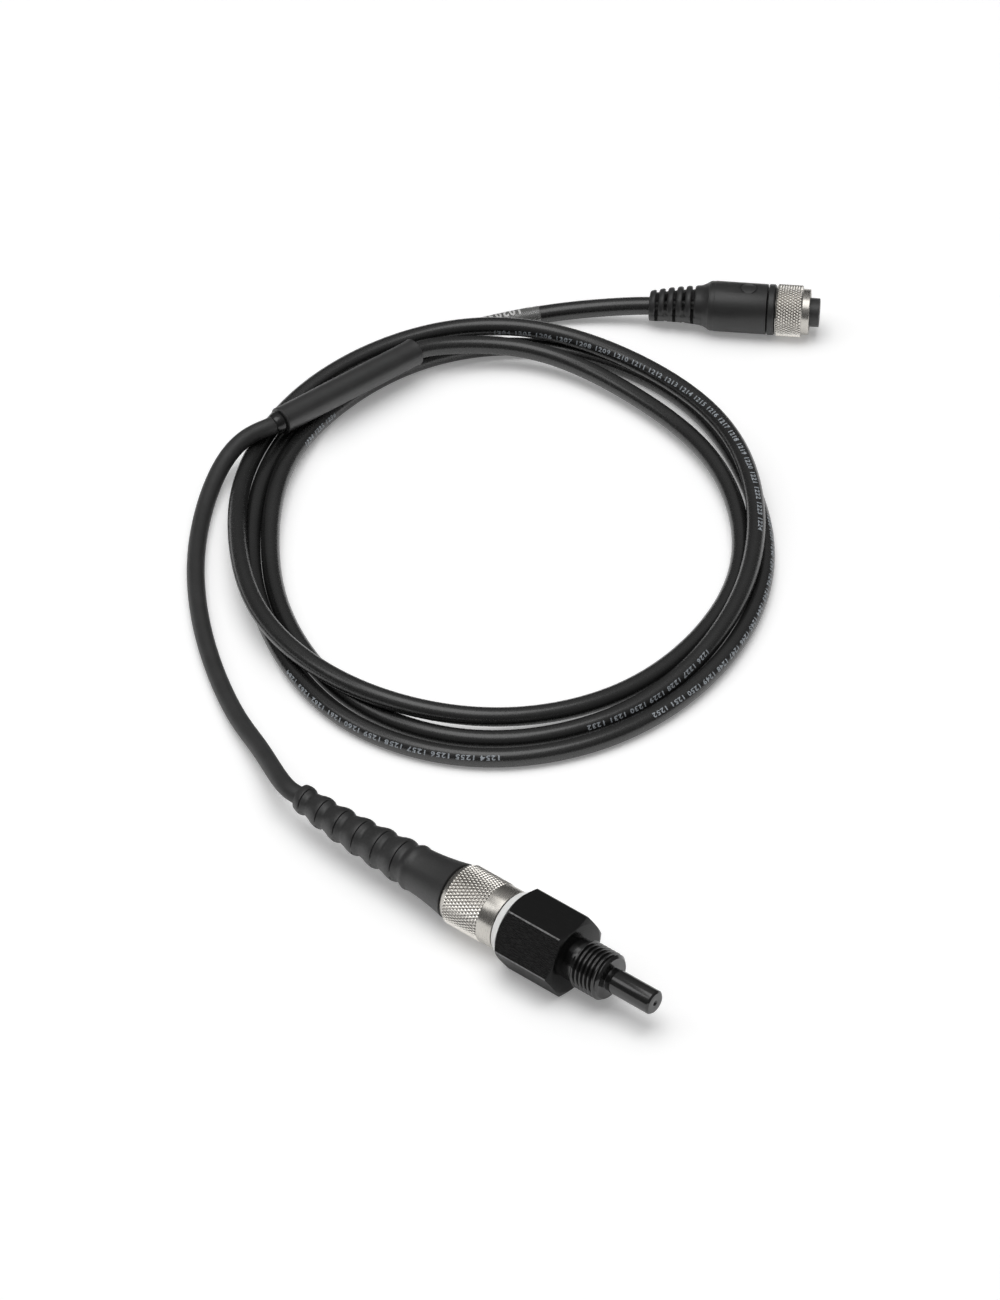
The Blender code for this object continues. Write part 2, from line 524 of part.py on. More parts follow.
def relief_outline():
    """Strain relief with rounded ridges, taper with fine steps, body and front bore."""
    points = [(0, 0), (0, RELIEF_BACK_R - 0.5), (0.5, RELIEF_BACK_R)]
    for i in range(5):
        at = RIDGE_FIRST_AT + i * RIDGE_PITCH
        crest = RELIEF_BACK_R + (RELIEF_FRONT_R - RELIEF_BACK_R) * at / RELIEF_LEN
        points += [(at - 0.75, crest), (at - 0.35, crest - RIDGE_DIP * 0.7),
                   (at, crest - RIDGE_DIP), (at + 0.35, crest - RIDGE_DIP * 0.7),
                   (at + 0.75, crest + 0.15)]
    flare_end = RELIEF_LEN + TAPER_LEN
    body_end = flare_end + PLUG_BODY_LEN
    bore_r, bore_at = NOSE_R + SEAT, body_end - 6
    points += [(RELIEF_LEN - 0.6, RELIEF_FRONT_R), (RELIEF_LEN + 0.6, RELIEF_FRONT_R + 0.35),
               (RELIEF_LEN + 2.6, PLUG_BODY_R - 0.3), (flare_end - 1.0, PLUG_BODY_R - 0.12),
               (flare_end - 0.9, PLUG_BODY_R), (body_end - 0.4, PLUG_BODY_R),
               (body_end, PLUG_BODY_R - 0.4), (body_end, bore_r), (bore_at, bore_r),
               (bore_at, 0)]
    return points


def slot_cutter(name, parent, at, spans):
    """Ring sectors for one ridge gap; spans are (start, end) degrees up from the horizontal."""
    bm = bmesh.new()
    for start, end in spans:
        corners = [(at - SLOT_WIDTH / 2, RELIEF_CORE_R), (at + SLOT_WIDTH / 2, RELIEF_CORE_R),
                   (at + SLOT_WIDTH / 2, RELIEF_FRONT_R + 2),
                   (at - SLOT_WIDTH / 2, RELIEF_FRONT_R + 2)]
        spin_from = math.radians(start)
        verts = [bm.verts.new((x * MM, -r * MM * math.cos(spin_from), r * MM * math.sin(spin_from)))
                 for x, r in corners]
        face = bm.faces.new(verts)
        steps = max(2, round((end - start) / 20))
        bmesh.ops.spin(bm, geom=[face], cent=(0, 0, 0), axis=(1, 0, 0),
                       angle=-math.radians(end - start), steps=steps, use_duplicate=False)
    bmesh.ops.recalc_face_normals(bm, faces=bm.faces)
    mesh = bpy.data.meshes.new(name)
    bm.to_mesh(mesh)
    bm.free()
    return add_object(name, mesh, parent=parent)


def relief_slots(parent):
    """Slots 1, 3 and 5 leave webs above and below; 2 and 4 leave webs at the sides too."""
    long_spans = [(-52, 86), (94, 232)]
    short_spans = [(13, 83), (97, 167), (-82, -38), (218, 262)]
    target = None
    for i in range(5):
        spans = long_spans if i % 2 == 0 else short_spans
        piece = slot_cutter("relief_slots", parent, RIDGE_FIRST_AT + i * RIDGE_PITCH, spans)
        if target is None:
            target = piece
        else:
            join_meshes(target, piece)
    return target


def make_plug(mats):
    """Moulded plug with a knurled coupling ring that turns on its nose."""
    frame = bpy.data.objects.new("plug_frame", None)
    bpy.context.collection.objects.link(frame)
    frame.location = (PLUG_TAIL[0] * MM, PLUG_TAIL[1] * MM, RING_R * MM)
    frame.rotation_euler = (0, 0, math.radians(PLUG_YAW))

    body = turned("plug_body", relief_outline(), mats["plug"], frame, sides=36)
    slots = relief_slots(frame)
    for mesh in (body.data, slots.data):
        bend(mesh, RELIEF_LEN, RELIEF_LEN, 0, RELIEF_SAG)
    cut(body, slots)
    disc = turned_mesh("disc_recess", [(PLUG_BODY_R - DISC_DEPTH, 0),
                                       (PLUG_BODY_R - DISC_DEPTH, DISC_R),
                                       (PLUG_BODY_R + 1, DISC_R), (PLUG_BODY_R + 1, 0)], 20)
    disc.transform(Matrix.Translation((DISC_AT * MM, 0, 0)) @ Matrix.Rotation(-math.pi / 2, 4, 'Y'))
    cut(body, add_object("disc_recess", disc, parent=frame))

    collar_at = RELIEF_LEN + TAPER_LEN + PLUG_BODY_LEN + SEAT
    lip_r = NOSE_R + 2 * SEAT
    turned("plug_collar", [
        (collar_at, NOSE_R + SEAT), (collar_at, PLUG_BODY_R - 0.35),
        (collar_at + 0.4, PLUG_BODY_R + 0.1), (collar_at + COLLAR_LEN - 0.4, PLUG_BODY_R + 0.1),
        (collar_at + COLLAR_LEN, PLUG_BODY_R - 0.3), (collar_at + COLLAR_LEN, NOSE_R + SEAT)],
        mats["plug"], frame)
    knurl_end = RING_BACK_AT + RING_KNURL_LEN
    bore_r = NOSE_FLANGE_R + SEAT
    turned("plug_ring", [
        (RING_BACK_AT, lip_r), (RING_BACK_AT, RING_R - RING_BEVEL),
        (RING_BACK_AT + RING_BEVEL, RING_R), (knurl_end - 0.25, RING_R),
        (knurl_end, RING_R - 0.35), (knurl_end, RING_FRONT_R),
        (RING_FRONT_AT - 0.3, RING_FRONT_R), (RING_FRONT_AT, RING_FRONT_R - 0.3),
        (RING_FRONT_AT, bore_r), (RING_BACK_AT + RING_LIP_LEN, bore_r),
        (RING_BACK_AT + RING_LIP_LEN, lip_r)], mats["nickel"], frame, sides=48)
    flange_at = RING_BACK_AT + RING_LIP_LEN + SEAT
    nose_back, nose_front = collar_at - 5.5, RING_FRONT_AT + NOSE_LEN
    nose = turned("plug_insert", [
        (nose_back, 0), (nose_back, NOSE_R), (flange_at, NOSE_R), (flange_at, NOSE_FLANGE_R),
        (flange_at + NOSE_FLANGE_LEN, NOSE_FLANGE_R), (flange_at + NOSE_FLANGE_LEN, NOSE_R),
        (nose_front - 0.4, NOSE_R), (nose_front, NOSE_R - 0.4), (nose_front, 0)],
        mats["insert"], frame, sides=INNER_SEGMENTS)
    drill_contacts(nose, nose_front - 13.0, nose_front + 1, PIN_R + 2 * SEAT, (0, 0, 0))
    ring_seal("plug_seal", flange_at + NOSE_FLANGE_LEN + SEAT + 0.5, 1.0, NOSE_R + SEAT,
              NOSE_FLANGE_R, mats["seal"], frame)
    socket = turned_mesh("plug_contact", socket_outline(
        nose_front - 0.6, nose_front - 12.6, PIN_R + SEAT, PIN_R + 0.12, 6.0), SMALL_SEGMENTS)
    for n, y, z in pin_places():
        add_object(f"plug_contact_{n}", socket.copy(), mats["gold"], frame,
                   location=(0, y * MM, z * MM))


def make_materials():
    return {
        "body": material("black_anodised", (0.020, 0.020, 0.021), 0.32, 0.55),
        "nickel": material("nickel", (0.62, 0.59, 0.55), 0.24, 1.0),
        "boot": material("boot_rubber", (0.030, 0.030, 0.031), 0.62),
        "lead": material("lead_jacket", (0.045, 0.045, 0.046), 0.60),
        "cable": material("cable_jacket", (0.026, 0.026, 0.028), 0.34),
        "sleeve": material("heat_shrink", (0.045, 0.045, 0.046), 0.45),
        "plug": material("plug_moulding", (0.030, 0.030, 0.032), 0.48),
        "insert": material("insert_plastic", (0.022, 0.022, 0.024), 0.40),
        "seal": material("seal_rubber", (0.025, 0.025, 0.026), 0.70),
        "gold": material("gold_contact", (0.83, 0.62, 0.24), 0.22, 1.0),
        "tinned": material("tinned_wire", (0.72, 0.72, 0.70), 0.30, 1.0),
        "ceramic": material("ceramic", (0.80, 0.78, 0.72), 0.55),
        "element": material("element_coating", (0.20, 0.22, 0.24), 0.40),
    }


def main():
    clear_scene()
    mats = make_materials()
    make_probe_body(mats["body"])
    make_sensor(mats)
    make_receptacle(mats)
    make_connector(mats)
    make_boot(mats["boot"])
    make_cords(mats)
    make_plug(mats)


main()
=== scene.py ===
"""Looks of the water temperature probe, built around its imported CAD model.

The probe lies along +X on one flat of its hexagon, and its cable lies behind it in three turns.
Sizes are millimetres, as in the CAD source; MM turns them into metres.
"""
import math

import bmesh
import bpy
import numpy as np
from mathutils import Matrix, Vector


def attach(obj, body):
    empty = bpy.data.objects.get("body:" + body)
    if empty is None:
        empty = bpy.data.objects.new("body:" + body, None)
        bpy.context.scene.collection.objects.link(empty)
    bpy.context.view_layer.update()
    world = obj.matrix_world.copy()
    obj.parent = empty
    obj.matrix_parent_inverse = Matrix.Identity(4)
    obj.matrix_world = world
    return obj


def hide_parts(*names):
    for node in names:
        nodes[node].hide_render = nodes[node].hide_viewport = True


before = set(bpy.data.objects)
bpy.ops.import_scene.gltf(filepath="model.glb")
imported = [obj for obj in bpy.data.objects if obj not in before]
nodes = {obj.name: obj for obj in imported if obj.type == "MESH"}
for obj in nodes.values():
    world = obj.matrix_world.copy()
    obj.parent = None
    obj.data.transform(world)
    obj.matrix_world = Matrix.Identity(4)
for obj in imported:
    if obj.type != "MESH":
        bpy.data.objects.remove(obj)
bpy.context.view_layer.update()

MM = 0.001
AXIS_Z = 9.525          # height of the probe's axis
SEAT = 0.3              # gap between pieces that touch
FINE = 120              # sides of the large turned pieces
WELD = 2e-7             # corners nearer than this are one, in metres

# Stations along the probe, from the CAD source
TIP_X, ROD_BASE_X, THREAD_END_X, HEX_FRONT_X, HEX_BACK_X = 58.15, 44.55, 35.85, 33.25, 15.25
FLANGE_X, FLANGE_LEN = 14.95, 2.2
NUT_FRONT_X, KNURL_FRONT_X, KNURL_BACK_X, NUT_BACK_X = 12.45, 7.85, -2.85, -4.55
BOOT_FACE_X, BOOT_TAIL_X = -4.85, -58.15
HEX_AF, HEX_CHAMFER_R, HEX_ROUNDING = 19.05, 9.35, 0.42
ROD_R, THREAD_R, THREAD_PITCH, THREAD_DEPTH, NECK_R = 3.175, 6.35, 1.27, 0.76, 5.6
THREAD_ROWS = 20        # rows of its mesh in one pitch
ELEMENT_BORE_R, SOCKET_R, SOCKET_LEN, TIP_WALL = 2.4, 6.5, 7.6, 4.0

# Finishes on the faces of the hexagon, as places in this list of materials
# the rounded corner strips are lighter, as worn bare metal and as a painted highlight on the edges
MILLED, WORN_AND_HIGHLIT, FACED, BRUSHED = range(4)
HEXAGON_MATERIALS = ("hexagon", "worn_and_highlit", "front_face", "hexagon_fine")

# Knurls: radius of the crests, depth, diamonds around, and their length along the axis
NUT_KNURL = (8.2, 0.30, 54, 1.85)
PLUG_KNURL = (7.3, 0.32, 52, 1.45)
KNURL_STEPS = 8         # points across a diamond

# Cords, from the CAD source
LEAD_D, CABLE_D, SLEEVE_R = 4.8, 5.05, 3.8
SLEEVE_FROM, SLEEVE_TO = Vector((-164.34, 113.64, 10.45)), Vector((-158.1, 162.5, 8.9))
EXIT_LEAN = 0.19        # how far the cable leans to +X where it leaves the splice
BOOT_SWAY, BOOT_SAG, BOOT_BEND_LEN = 2.0, 0.3, 24.0
PLUG_TAIL, PLUG_YAW, RING_R, RELIEF_SAG, RELIEF_LEN = (-124.6, 224.0), 33.6, 7.3, 1.5, 14.65
SLOTS, SLOT_AT, SLOT_STEP, SLOT_WIDTH, SLOT_REACH = 5, 2.7, 2.52, 0.9, 8.0
PLUG_RING_X, PLUG_FRONT_X, CONTACT_PITCH_R, CONTACT_HOLE_R = 36.05, 45.55, 2.4, 1.1
LEAD_ROUTE = [
    (-80.1, 11.7, 5.6), (-94.4, 19.0, 3.4), (-109.7, 28.1, 2.5), (-124.1, 38.4, 2.5),
    (-136.7, 49.3, 2.5), (-148.3, 61.5, 2.5), (-158.4, 74.9, 2.7), (-165.1, 86.7, 4.0),
    (-168.2, 96.4, 6.5), (-167.5, 104.3, 9.2)]
CABLE_ROUTE = [
    (-152.3, 173.0, 8.0), (-134.5, 187.2, 6.1), (-99.0, 190.4, 4.3), (-65.8, 180.8, 4.1),
    (-38.7, 157.1, 2.7), (-25.6, 124.7, 2.8), (-26.5, 89.4, 3.7), (-44.7, 59.6, 5.5),
    (-76.6, 44.3, 7.9), (-112.6, 49.6, 8.0), (-140.0, 69.2, 7.6), (-163.4, 99.6, 4.4),
    (-171.0, 131.7, 6.7), (-163.2, 167.6, 8.4),
    (-140.3, 192.6, 8.1), (-99.3, 199.3, 7.5), (-63.2, 186.8, 8.2), (-35.3, 158.7, 6.8),
    (-20.5, 123.8, 5.0), (-21.1, 86.0, 2.9), (-42.4, 54.0, 2.7), (-75.7, 44.6, 2.6),
    (-110.5, 56.3, 2.7), (-135.1, 76.5, 3.0), (-153.9, 102.5, 4.3), (-162.8, 132.1, 3.2),
    (-159.8, 165.6, 2.6),
    (-139.2, 192.0, 2.6), (-99.6, 200.9, 2.6), (-62.4, 186.6, 2.7), (-32.9, 160.4, 2.6),
    (-15.9, 124.8, 2.9), (-15.8, 82.6, 2.7), (-37.6, 48.8, 2.7), (-75.0, 37.9, 2.6),
    (-112.2, 51.1, 2.9), (-138.3, 72.4, 2.6), (-158.3, 100.4, 2.6), (-168.2, 131.8, 2.6),
    (-165.5, 166.5, 2.6), (-147.3, 204.7, 2.9)]

# Runs of plain numbers on the cable: first number, how many, and (distance along, angle from top)
PRINT_RUNS = [
    (1204, 21, [(487, 103), (505, 82), (525, 58), (550, 38), (577, 9), (600, -17), (625, -36),
                (650, -56)]),
    (1226, 7, [(665, -46), (685, -60), (718, -62)]),
    (1234, 3, [(884, 68), (908, 70)]),
    (1238, 15, [(1076, -47), (1129, -57), (1145, -53), (1162, -38), (1192, -42)]),
    (1254, 11, [(1210, -50), (1230, -61), (1250, -66), (1295, -66)])]
PRINT_SIZE, PRINT_STRETCH, PRINT_SPREAD, PRINT_WEIGHT = 1.8, 1.3, 1.15, 0.04
PRINT_THICK, PRINT_LIFT, PRINT_BANDS = 0.05, 0.02, 5
LABEL_FROM, LABEL_TO, LABEL_SIZE, LABEL_WEIGHT, LABEL_THICK = 1452.0, 1469.5, 3.6, 0.12, 0.06

# Camera: focal length in image heights, what it looks at in mm, distance in metres, and degrees
SENSOR, FOCUS = 36, 5905 / 1300
CAMERA_AIM, CAMERA_DISTANCE = Vector((-63.98, 87.12, 0)), 1.55
CAMERA_AZIMUTH, CAMERA_ELEVATION = 39.96, 39.83

# Softboxes: name, place, aim, side, power, and whether reflections show it
LAMPS = [
    ("overhead", (0.0, -0.14, 2.20), (-0.06, 0.10, 0), 1.7, 16.5, True),
    ("left", (-1.33, -1.23, 2.06), (0.02, 0, 0), 0.95, 4.6, True),
    ("fill", (-0.40, 0.30, 2.70), (-0.06, 0.10, 0), 3.0, 26.5, False)]
ROOM = [(0.0, 0.12), (0.40, 0.13), (0.73, 0.27), (1.0, 0.46)]      # light of the room by height
FLOOR_RADIUS, FLOOR_COLOUR, FLOOR_LIFT = 12, (0.97, 0.97, 0.97, 1), 0.20

# Grained surfaces: material, dark and light colour, roughness and its spread, grains per mm and
# their height in mm, then other settings
GRAINED = {
    # corner strips of the hexagon: lighter for wear and as a painted highlight
    "worn_and_highlit": ("anodised_worn_edge_and_highlight", 0.05, 0.24, 0.36, 0.06, 2.4, 0.012,
             dict(patch_scale=1.3, stretch=(0.4, 1, 1), Specular_IOR_Level=0.9)),
    "turned": ("anodised_turned", 0.004, 0.009, 0.17, 0.04, 2.5, 0.004,
               dict(stretch=(2.5, 0.3, 0.3), Specular_IOR_Level=0.8)),
    "front_face": ("anodised_front", 0.004, 0.008, 0.18, 0.04, 2.5, 0.002,
                   dict(stretch=(2.5, 0.5, 0.5), Specular_IOR_Level=0.16)),
    "nickel": ("nickel_turned", (0.50, 0.48, 0.445), (0.57, 0.55, 0.515), 0.26, 0.04, 3.2,
               0.0025, dict(metallic=1.0, stretch=(3.0, 0.25, 0.25))),
    "pale_ring": ("pale_ring", (0.90, 0.90, 0.89), (0.96, 0.96, 0.95), 0.40, 0.05, 2.2, 0.006, {}),
    "boot": ("boot_rubber", 0.014, 0.020, 0.50, 0.08, 3.0, 0.020, dict(Specular_IOR_Level=0.8)),
    "lead": ("lead_jacket", 0.024, 0.032, 0.54, 0.08, 3.5, 0.018, dict(Specular_IOR_Level=0.5)),
    "cable": ("cable_jacket", 0.010, 0.015, 0.28, 0.05, 1.6, 0.006,
              dict(patch_scale=0.06, Specular_IOR_Level=0.8)),
    "sleeve": ("heat_shrink", 0.018, 0.026, 0.44, 0.05, 1.6, 0.006,
               dict(stretch=(1, 0.4, 1), Specular_IOR_Level=0.9)),
    "sealant": ("sealant", 0.006, 0.012, 0.20, 0.05, 1.0, 0.05, dict(Specular_IOR_Level=0.6)),
    "plug": ("plug_moulding", 0.016, 0.023, 0.43, 0.07, 4.0, 0.018, dict(Specular_IOR_Level=0.6)),
    "insert": ("insert_plastic", 0.034, 0.046, 0.40, 0.05, 3.0, 0.008, {}),
    "seal": ("seal_rubber", 0.016, 0.024, 0.70, 0.06, 4.0, 0.015, {}),
    "gold": ("gold_contact", (0.78, 0.56, 0.20), (0.86, 0.66, 0.28), 0.22, 0.05, 3.0, 0.004,
             dict(metallic=1.0)),
    "tinned": ("tinned_wire", (0.62, 0.62, 0.60), (0.74, 0.74, 0.72), 0.32, 0.07, 3.0, 0.008,
               dict(metallic=1.0)),
    "ceramic": ("ceramic", (0.74, 0.72, 0.66), (0.84, 0.82, 0.77), 0.6, 0.08, 2.0, 0.012, {}),
    "element": ("element_coating", (0.14, 0.16, 0.18), (0.22, 0.24, 0.26), 0.40, 0.08, 2.0,
                0.010, {}),
    "ink": ("print_ink", (0.27, 0.295, 0.32), (0.40, 0.43, 0.46), 0.55, 0.08, 1.6, 0.004,
            dict(patch_scale=0.9)),
    "label": ("label_film", 0.014, 0.022, 0.35, 0.05, 2.0, 0.006, {}),
    "label_ink": ("label_ink", 0.62, 0.78, 0.5, 0.06, 2.0, 0.006, {}),
    # clear sleeve: its pale colour is painted glare over the label
    "clear": ("clear_shrink_painted_glare", (0.40, 0.40, 0.39), (0.60, 0.60, 0.58), 0.14, 0.05, 1.0, 0.05,
              dict(Alpha=0.24, IOR=2.2))}

# Finishes of the CAD pieces that stay
CAD_FINISHES = {
    "sensing_element": "element", "wire_insulator": "ceramic", "element_wire_1": "tinned",
    "element_wire_2": "tinned", "receptacle_insert": "insert", "socket_insert": "insert",
    "inner_sleeve": "nickel", "face_seal": "seal", "plug_seal": "seal"}
GILDED = ("contact_pin", "contact_socket", "plug_contact")
CONTACTS = range(1, 5)


def add(name, data):
    """A new object in the scene."""
    obj = bpy.data.objects.new(name, data)
    bpy.context.scene.collection.objects.link(obj)
    return obj


# Camera, light and floor

def make_camera():
    data = bpy.data.cameras.new("camera")
    data.sensor_width = SENSOR
    data.lens = SENSOR * FOCUS
    data.clip_start, data.clip_end = 0.05, 50
    cam = add("camera", data)
    azimuth, elevation = math.radians(CAMERA_AZIMUTH), math.radians(CAMERA_ELEVATION)
    back = Vector((math.sin(azimuth) * math.cos(elevation),
                   -math.cos(azimuth) * math.cos(elevation), math.sin(elevation)))
    cam.location = CAMERA_AIM * MM + back * CAMERA_DISTANCE
    cam.rotation_euler = back.to_track_quat('Z', 'Y').to_euler()
    bpy.context.scene.camera = cam


def make_room():
    world = bpy.data.worlds.new("studio")
    world.use_nodes = True
    tree = world.node_tree
    coords = tree.nodes.new("ShaderNodeTexCoord")
    axes = tree.nodes.new("ShaderNodeSeparateXYZ")
    tree.links.new(coords.outputs["Generated"], axes.inputs[0])
    background = tree.nodes["Background"]
    tree.links.new(ramp(tree, axes.outputs["Z"], ROOM), background.inputs["Color"])
    background.inputs["Strength"].default_value = 1.0
    bpy.context.scene.world = world


def make_lamps():
    for name, place_at, aim, side, power, reflected in LAMPS:
        data = bpy.data.lights.new(name, 'AREA')
        data.shape = 'SQUARE'
        data.size = side
        data.energy = power
        lamp = add(name, data)
        lamp.location = place_at
        way = Vector(place_at) - Vector(aim)
        lamp.rotation_euler = way.to_track_quat('Z', 'Y').to_euler()
        lamp.visible_glossy = reflected


def floor_material():
    """Pale and matte; what sees it directly or in gloss or glass sees it a little lifted."""
    mat, tree, bsdf = shader("floor", 1.0, Specular_IOR_Level=0.0)
    bsdf.inputs["Base Color"].default_value = FLOOR_COLOUR
    path = tree.nodes.new("ShaderNodeLightPath")
    level = 0.0
    for ray in ("Is Camera Ray", "Is Glossy Ray", "Is Transmission Ray"):
        level = calculate(tree, 'MULTIPLY_ADD', path.outputs[ray], FLOOR_LIFT, level)
    lift = tree.nodes.new("ShaderNodeEmission")
    tree.links.new(level, lift.inputs["Strength"])
    total = tree.nodes.new("ShaderNodeAddShader")
    tree.links.new(bsdf.outputs[0], total.inputs[0])
    tree.links.new(lift.outputs[0], total.inputs[1])
    tree.links.new(total.outputs[0], tree.nodes["Material Output"].inputs["Surface"])
    return mat


def make_floor():
    bm = bmesh.new()
    bmesh.ops.create_circle(bm, cap_ends=True, segments=64, radius=FLOOR_RADIUS)
    mesh = as_mesh(bm, "floor")
    mesh.materials.append(floor_material())
    add("floor", mesh)


def make_studio():
    bpy.context.scene.view_settings.view_transform = 'Standard'
    make_room()
    make_lamps()
    make_floor()


# Materials

def shader(name, roughness, metallic=0.0, **sockets):
    mat = bpy.data.materials.new(name)
    mat.use_nodes = True
    bsdf = mat.node_tree.nodes["Principled BSDF"]
    bsdf.inputs["Roughness"].default_value = roughness
    bsdf.inputs["Metallic"].default_value = metallic
    for key, value in sockets.items():
        bsdf.inputs[key.replace("_", " ")].default_value = value
    return mat, mat.node_tree, bsdf


def calculate(tree, operation, *values):
    """Result of a math node whose inputs are sockets or numbers."""
    node = tree.nodes.new("ShaderNodeMath")
    node.operation = operation
    for socket, value in zip(node.inputs, values):
        if isinstance(value, bpy.types.NodeSocket):
            tree.links.new(value, socket)
        else:
            socket.default_value = value
    return node.outputs[0]


def place(tree, scale=(1, 1, 1)):
    """Object coordinates in millimetres, stretched by scale."""
    coords = tree.nodes.new("ShaderNodeTexCoord")
    mapping = tree.nodes.new("ShaderNodeMapping")
    mapping.inputs["Scale"].default_value = tuple(s / MM for s in scale)
    tree.links.new(coords.outputs["Object"], mapping.inputs["Vector"])
    return mapping.outputs["Vector"]


def noise(tree, vector, scale, detail, roughness=0.55):
    node = tree.nodes.new("ShaderNodeTexNoise")
    node.inputs["Scale"].default_value = scale
    node.inputs["Detail"].default_value = detail
    node.inputs["Roughness"].default_value = roughness
    tree.links.new(vector, node.inputs["Vector"])
    return node.outputs["Fac"]


def ramp(tree, fac, stops):
    node = tree.nodes.new("ShaderNodeValToRGB")
    elements = node.color_ramp.elements
    while len(elements) < len(stops):
        elements.new(0.5)
    for element, (position, colour) in zip(elements, stops):
        element.position = position
        value = colour if hasattr(colour, "__len__") else (colour,) * 3
        element.color = (*value, 1)
    tree.links.new(fac, node.inputs["Fac"])
    return node.outputs["Color"]


def rescale(tree, value, low, high, least=0.3, most=0.7):
    """Spread a value from least..most over low..high; noise mostly lies in 0.3..0.7."""
    node = tree.nodes.new("ShaderNodeMapRange")
    node.inputs["From Min"].default_value = least
    node.inputs["From Max"].default_value = most
    node.inputs["To Min"].default_value = low
    node.inputs["To Max"].default_value = high
    tree.links.new(value, node.inputs["Value"])
    return node.outputs["Result"]


def bump(tree, bsdf, height, distance_mm):
    node = tree.nodes.new("ShaderNodeBump")
    node.inputs["Strength"].default_value = 1.0
    node.inputs["Distance"].default_value = distance_mm * MM
    tree.links.new(height, node.inputs["Height"])
    tree.links.new(node.outputs["Normal"], bsdf.inputs["Normal"])


def grained(name, dark, light, roughness, spread, grain_scale, grain_mm, patch_scale=0.15,
            metallic=0.0, stretch=(1, 1, 1), **sockets):
    """A surface with cloudy patches of colour and gloss and a fine grain in relief."""
    mat, tree, bsdf = shader(name, roughness, metallic, **sockets)
    patches = noise(tree, place(tree), patch_scale, 4.0)
    grain = noise(tree, place(tree, stretch), grain_scale, 4.0, 0.6)
    tree.links.new(ramp(tree, patches, [(0.32, dark), (0.70, light)]), bsdf.inputs["Base Color"])
    tree.links.new(rescale(tree, grain, roughness - spread, roughness + spread),
                   bsdf.inputs["Roughness"])
    bump(tree, bsdf, grain, grain_mm)
    return mat


def nickel_with_painted_groove_shade(name, crest, depth):
    """Nickel with painted shade: darker in a knurl's grooves than on its crests, by distance from
    X.
    """
    mat = grained(name, (0.82, 0.79, 0.74), (0.92, 0.89, 0.84), 0.22, 0.05, 1.2, 0.004,
                  metallic=1.0)
    tree = mat.node_tree
    colour = tree.nodes["Principled BSDF"].inputs["Base Color"]
    distance = tree.nodes.new("ShaderNodeVectorMath")
    distance.operation = 'LENGTH'
    tree.links.new(place(tree, (0, 1, 1)), distance.inputs[0])
    height = rescale(tree, distance.outputs["Value"], 0, 1, crest - depth, crest)
    mix = tree.nodes.new("ShaderNodeMix")
    mix.data_type, mix.blend_type = 'RGBA', 'MULTIPLY'
    factor, first, second = mix.inputs[0], mix.inputs[6], mix.inputs[7]
    factor.default_value = 1.0
    tree.links.new(colour.links[0].from_socket, first)
    # painted shade: the colour falls to 0.38 of itself in the grooves and stays full on the crests
    tree.links.new(ramp(tree, height, [(0.12, 0.38), (0.60, 1.0)]), second)
    tree.links.new(mix.outputs[2], colour)
    return mat


def brushed(name, dark, light, roughness, relief_mm, **sockets):
    """Anodised flats with a milled grain along X, in colour, gloss and relief."""
    mat, tree, bsdf = shader(name, roughness, **sockets)
    streaks = noise(tree, place(tree, (0.22, 2.2, 2.2)), 1.0, 5.0, 0.65)
    fine = noise(tree, place(tree, (0.5, 5.0, 5.0)), 1.3, 3.0, 0.6)
    both = calculate(tree, 'MULTIPLY_ADD', fine, 0.5, calculate(tree, 'MULTIPLY', streaks, 0.5))
    tree.links.new(ramp(tree, both, [(0.40, dark), (0.52, (dark + light) / 2.6), (0.62, light)]),
                   bsdf.inputs["Base Color"])
    tree.links.new(rescale(tree, fine, roughness - 0.06, roughness + 0.08),
                   bsdf.inputs["Roughness"])
    bump(tree, bsdf, both, relief_mm)
    return mat


def make_materials():
    mats = {key: grained(*values, **others) for key, (*values, others) in GRAINED.items()}
    mats["hexagon"] = brushed("anodised_milled", 0.003, 0.010, 0.25, 0.026)
    mats["hexagon_fine"] = brushed("anodised_brushed", 0.007, 0.011, 0.42, 0.006,
                                   Specular_IOR_Level=0.15)
    # both knurls carry painted shade in their grooves
    mats["knurl"] = nickel_with_painted_groove_shade("knurl_nickel_painted_groove_shade", *NUT_KNURL[:2])
    mats["plug_knurl"] = nickel_with_painted_groove_shade("fine_knurl_nickel_painted_groove_shade", *PLUG_KNURL[:2])
    return mats


# Mesh helpers

def as_mesh(bm, name):
    mesh = bpy.data.meshes.new(name)
    bm.to_mesh(mesh)
    bm.free()
    return mesh


def shade(mesh, sharp):
    """Smooth faces with sharp edges where they turn by more than the angle."""
    for poly in mesh.polygons:
        poly.use_smooth = True
    mesh.set_sharp_from_angle(angle=math.radians(sharp))
    return mesh


def finish_mesh(bm, name, sharp=35):
    bmesh.ops.remove_doubles(bm, verts=bm.verts, dist=WELD)
    bmesh.ops.recalc_face_normals(bm, faces=bm.faces)
    return shade(as_mesh(bm, name), sharp)


def piece(name, mesh, finish, body="probe", stands_for=(), matrix=None):
    """An object that rides on a body; finish is its material, or None where the mesh has some."""
    obj = add(name, mesh)
    if finish is not None:
        mesh.materials.append(finish)
    if matrix is not None:
        obj.matrix_world = matrix
    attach(obj, body)
    if stands_for:
        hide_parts(*stands_for)
    return obj


def ring_of(bm, x, radius_at, sides):
    """One ring of points about X, at height r or r(angle)."""
    ring = []
    for j in range(sides):
        a = 2 * math.pi * j / sides
        r = radius_at(a) if callable(radius_at) else radius_at
        ring.append(bm.verts.new((x * MM, r * MM * math.cos(a), r * MM * math.sin(a))))
    return ring


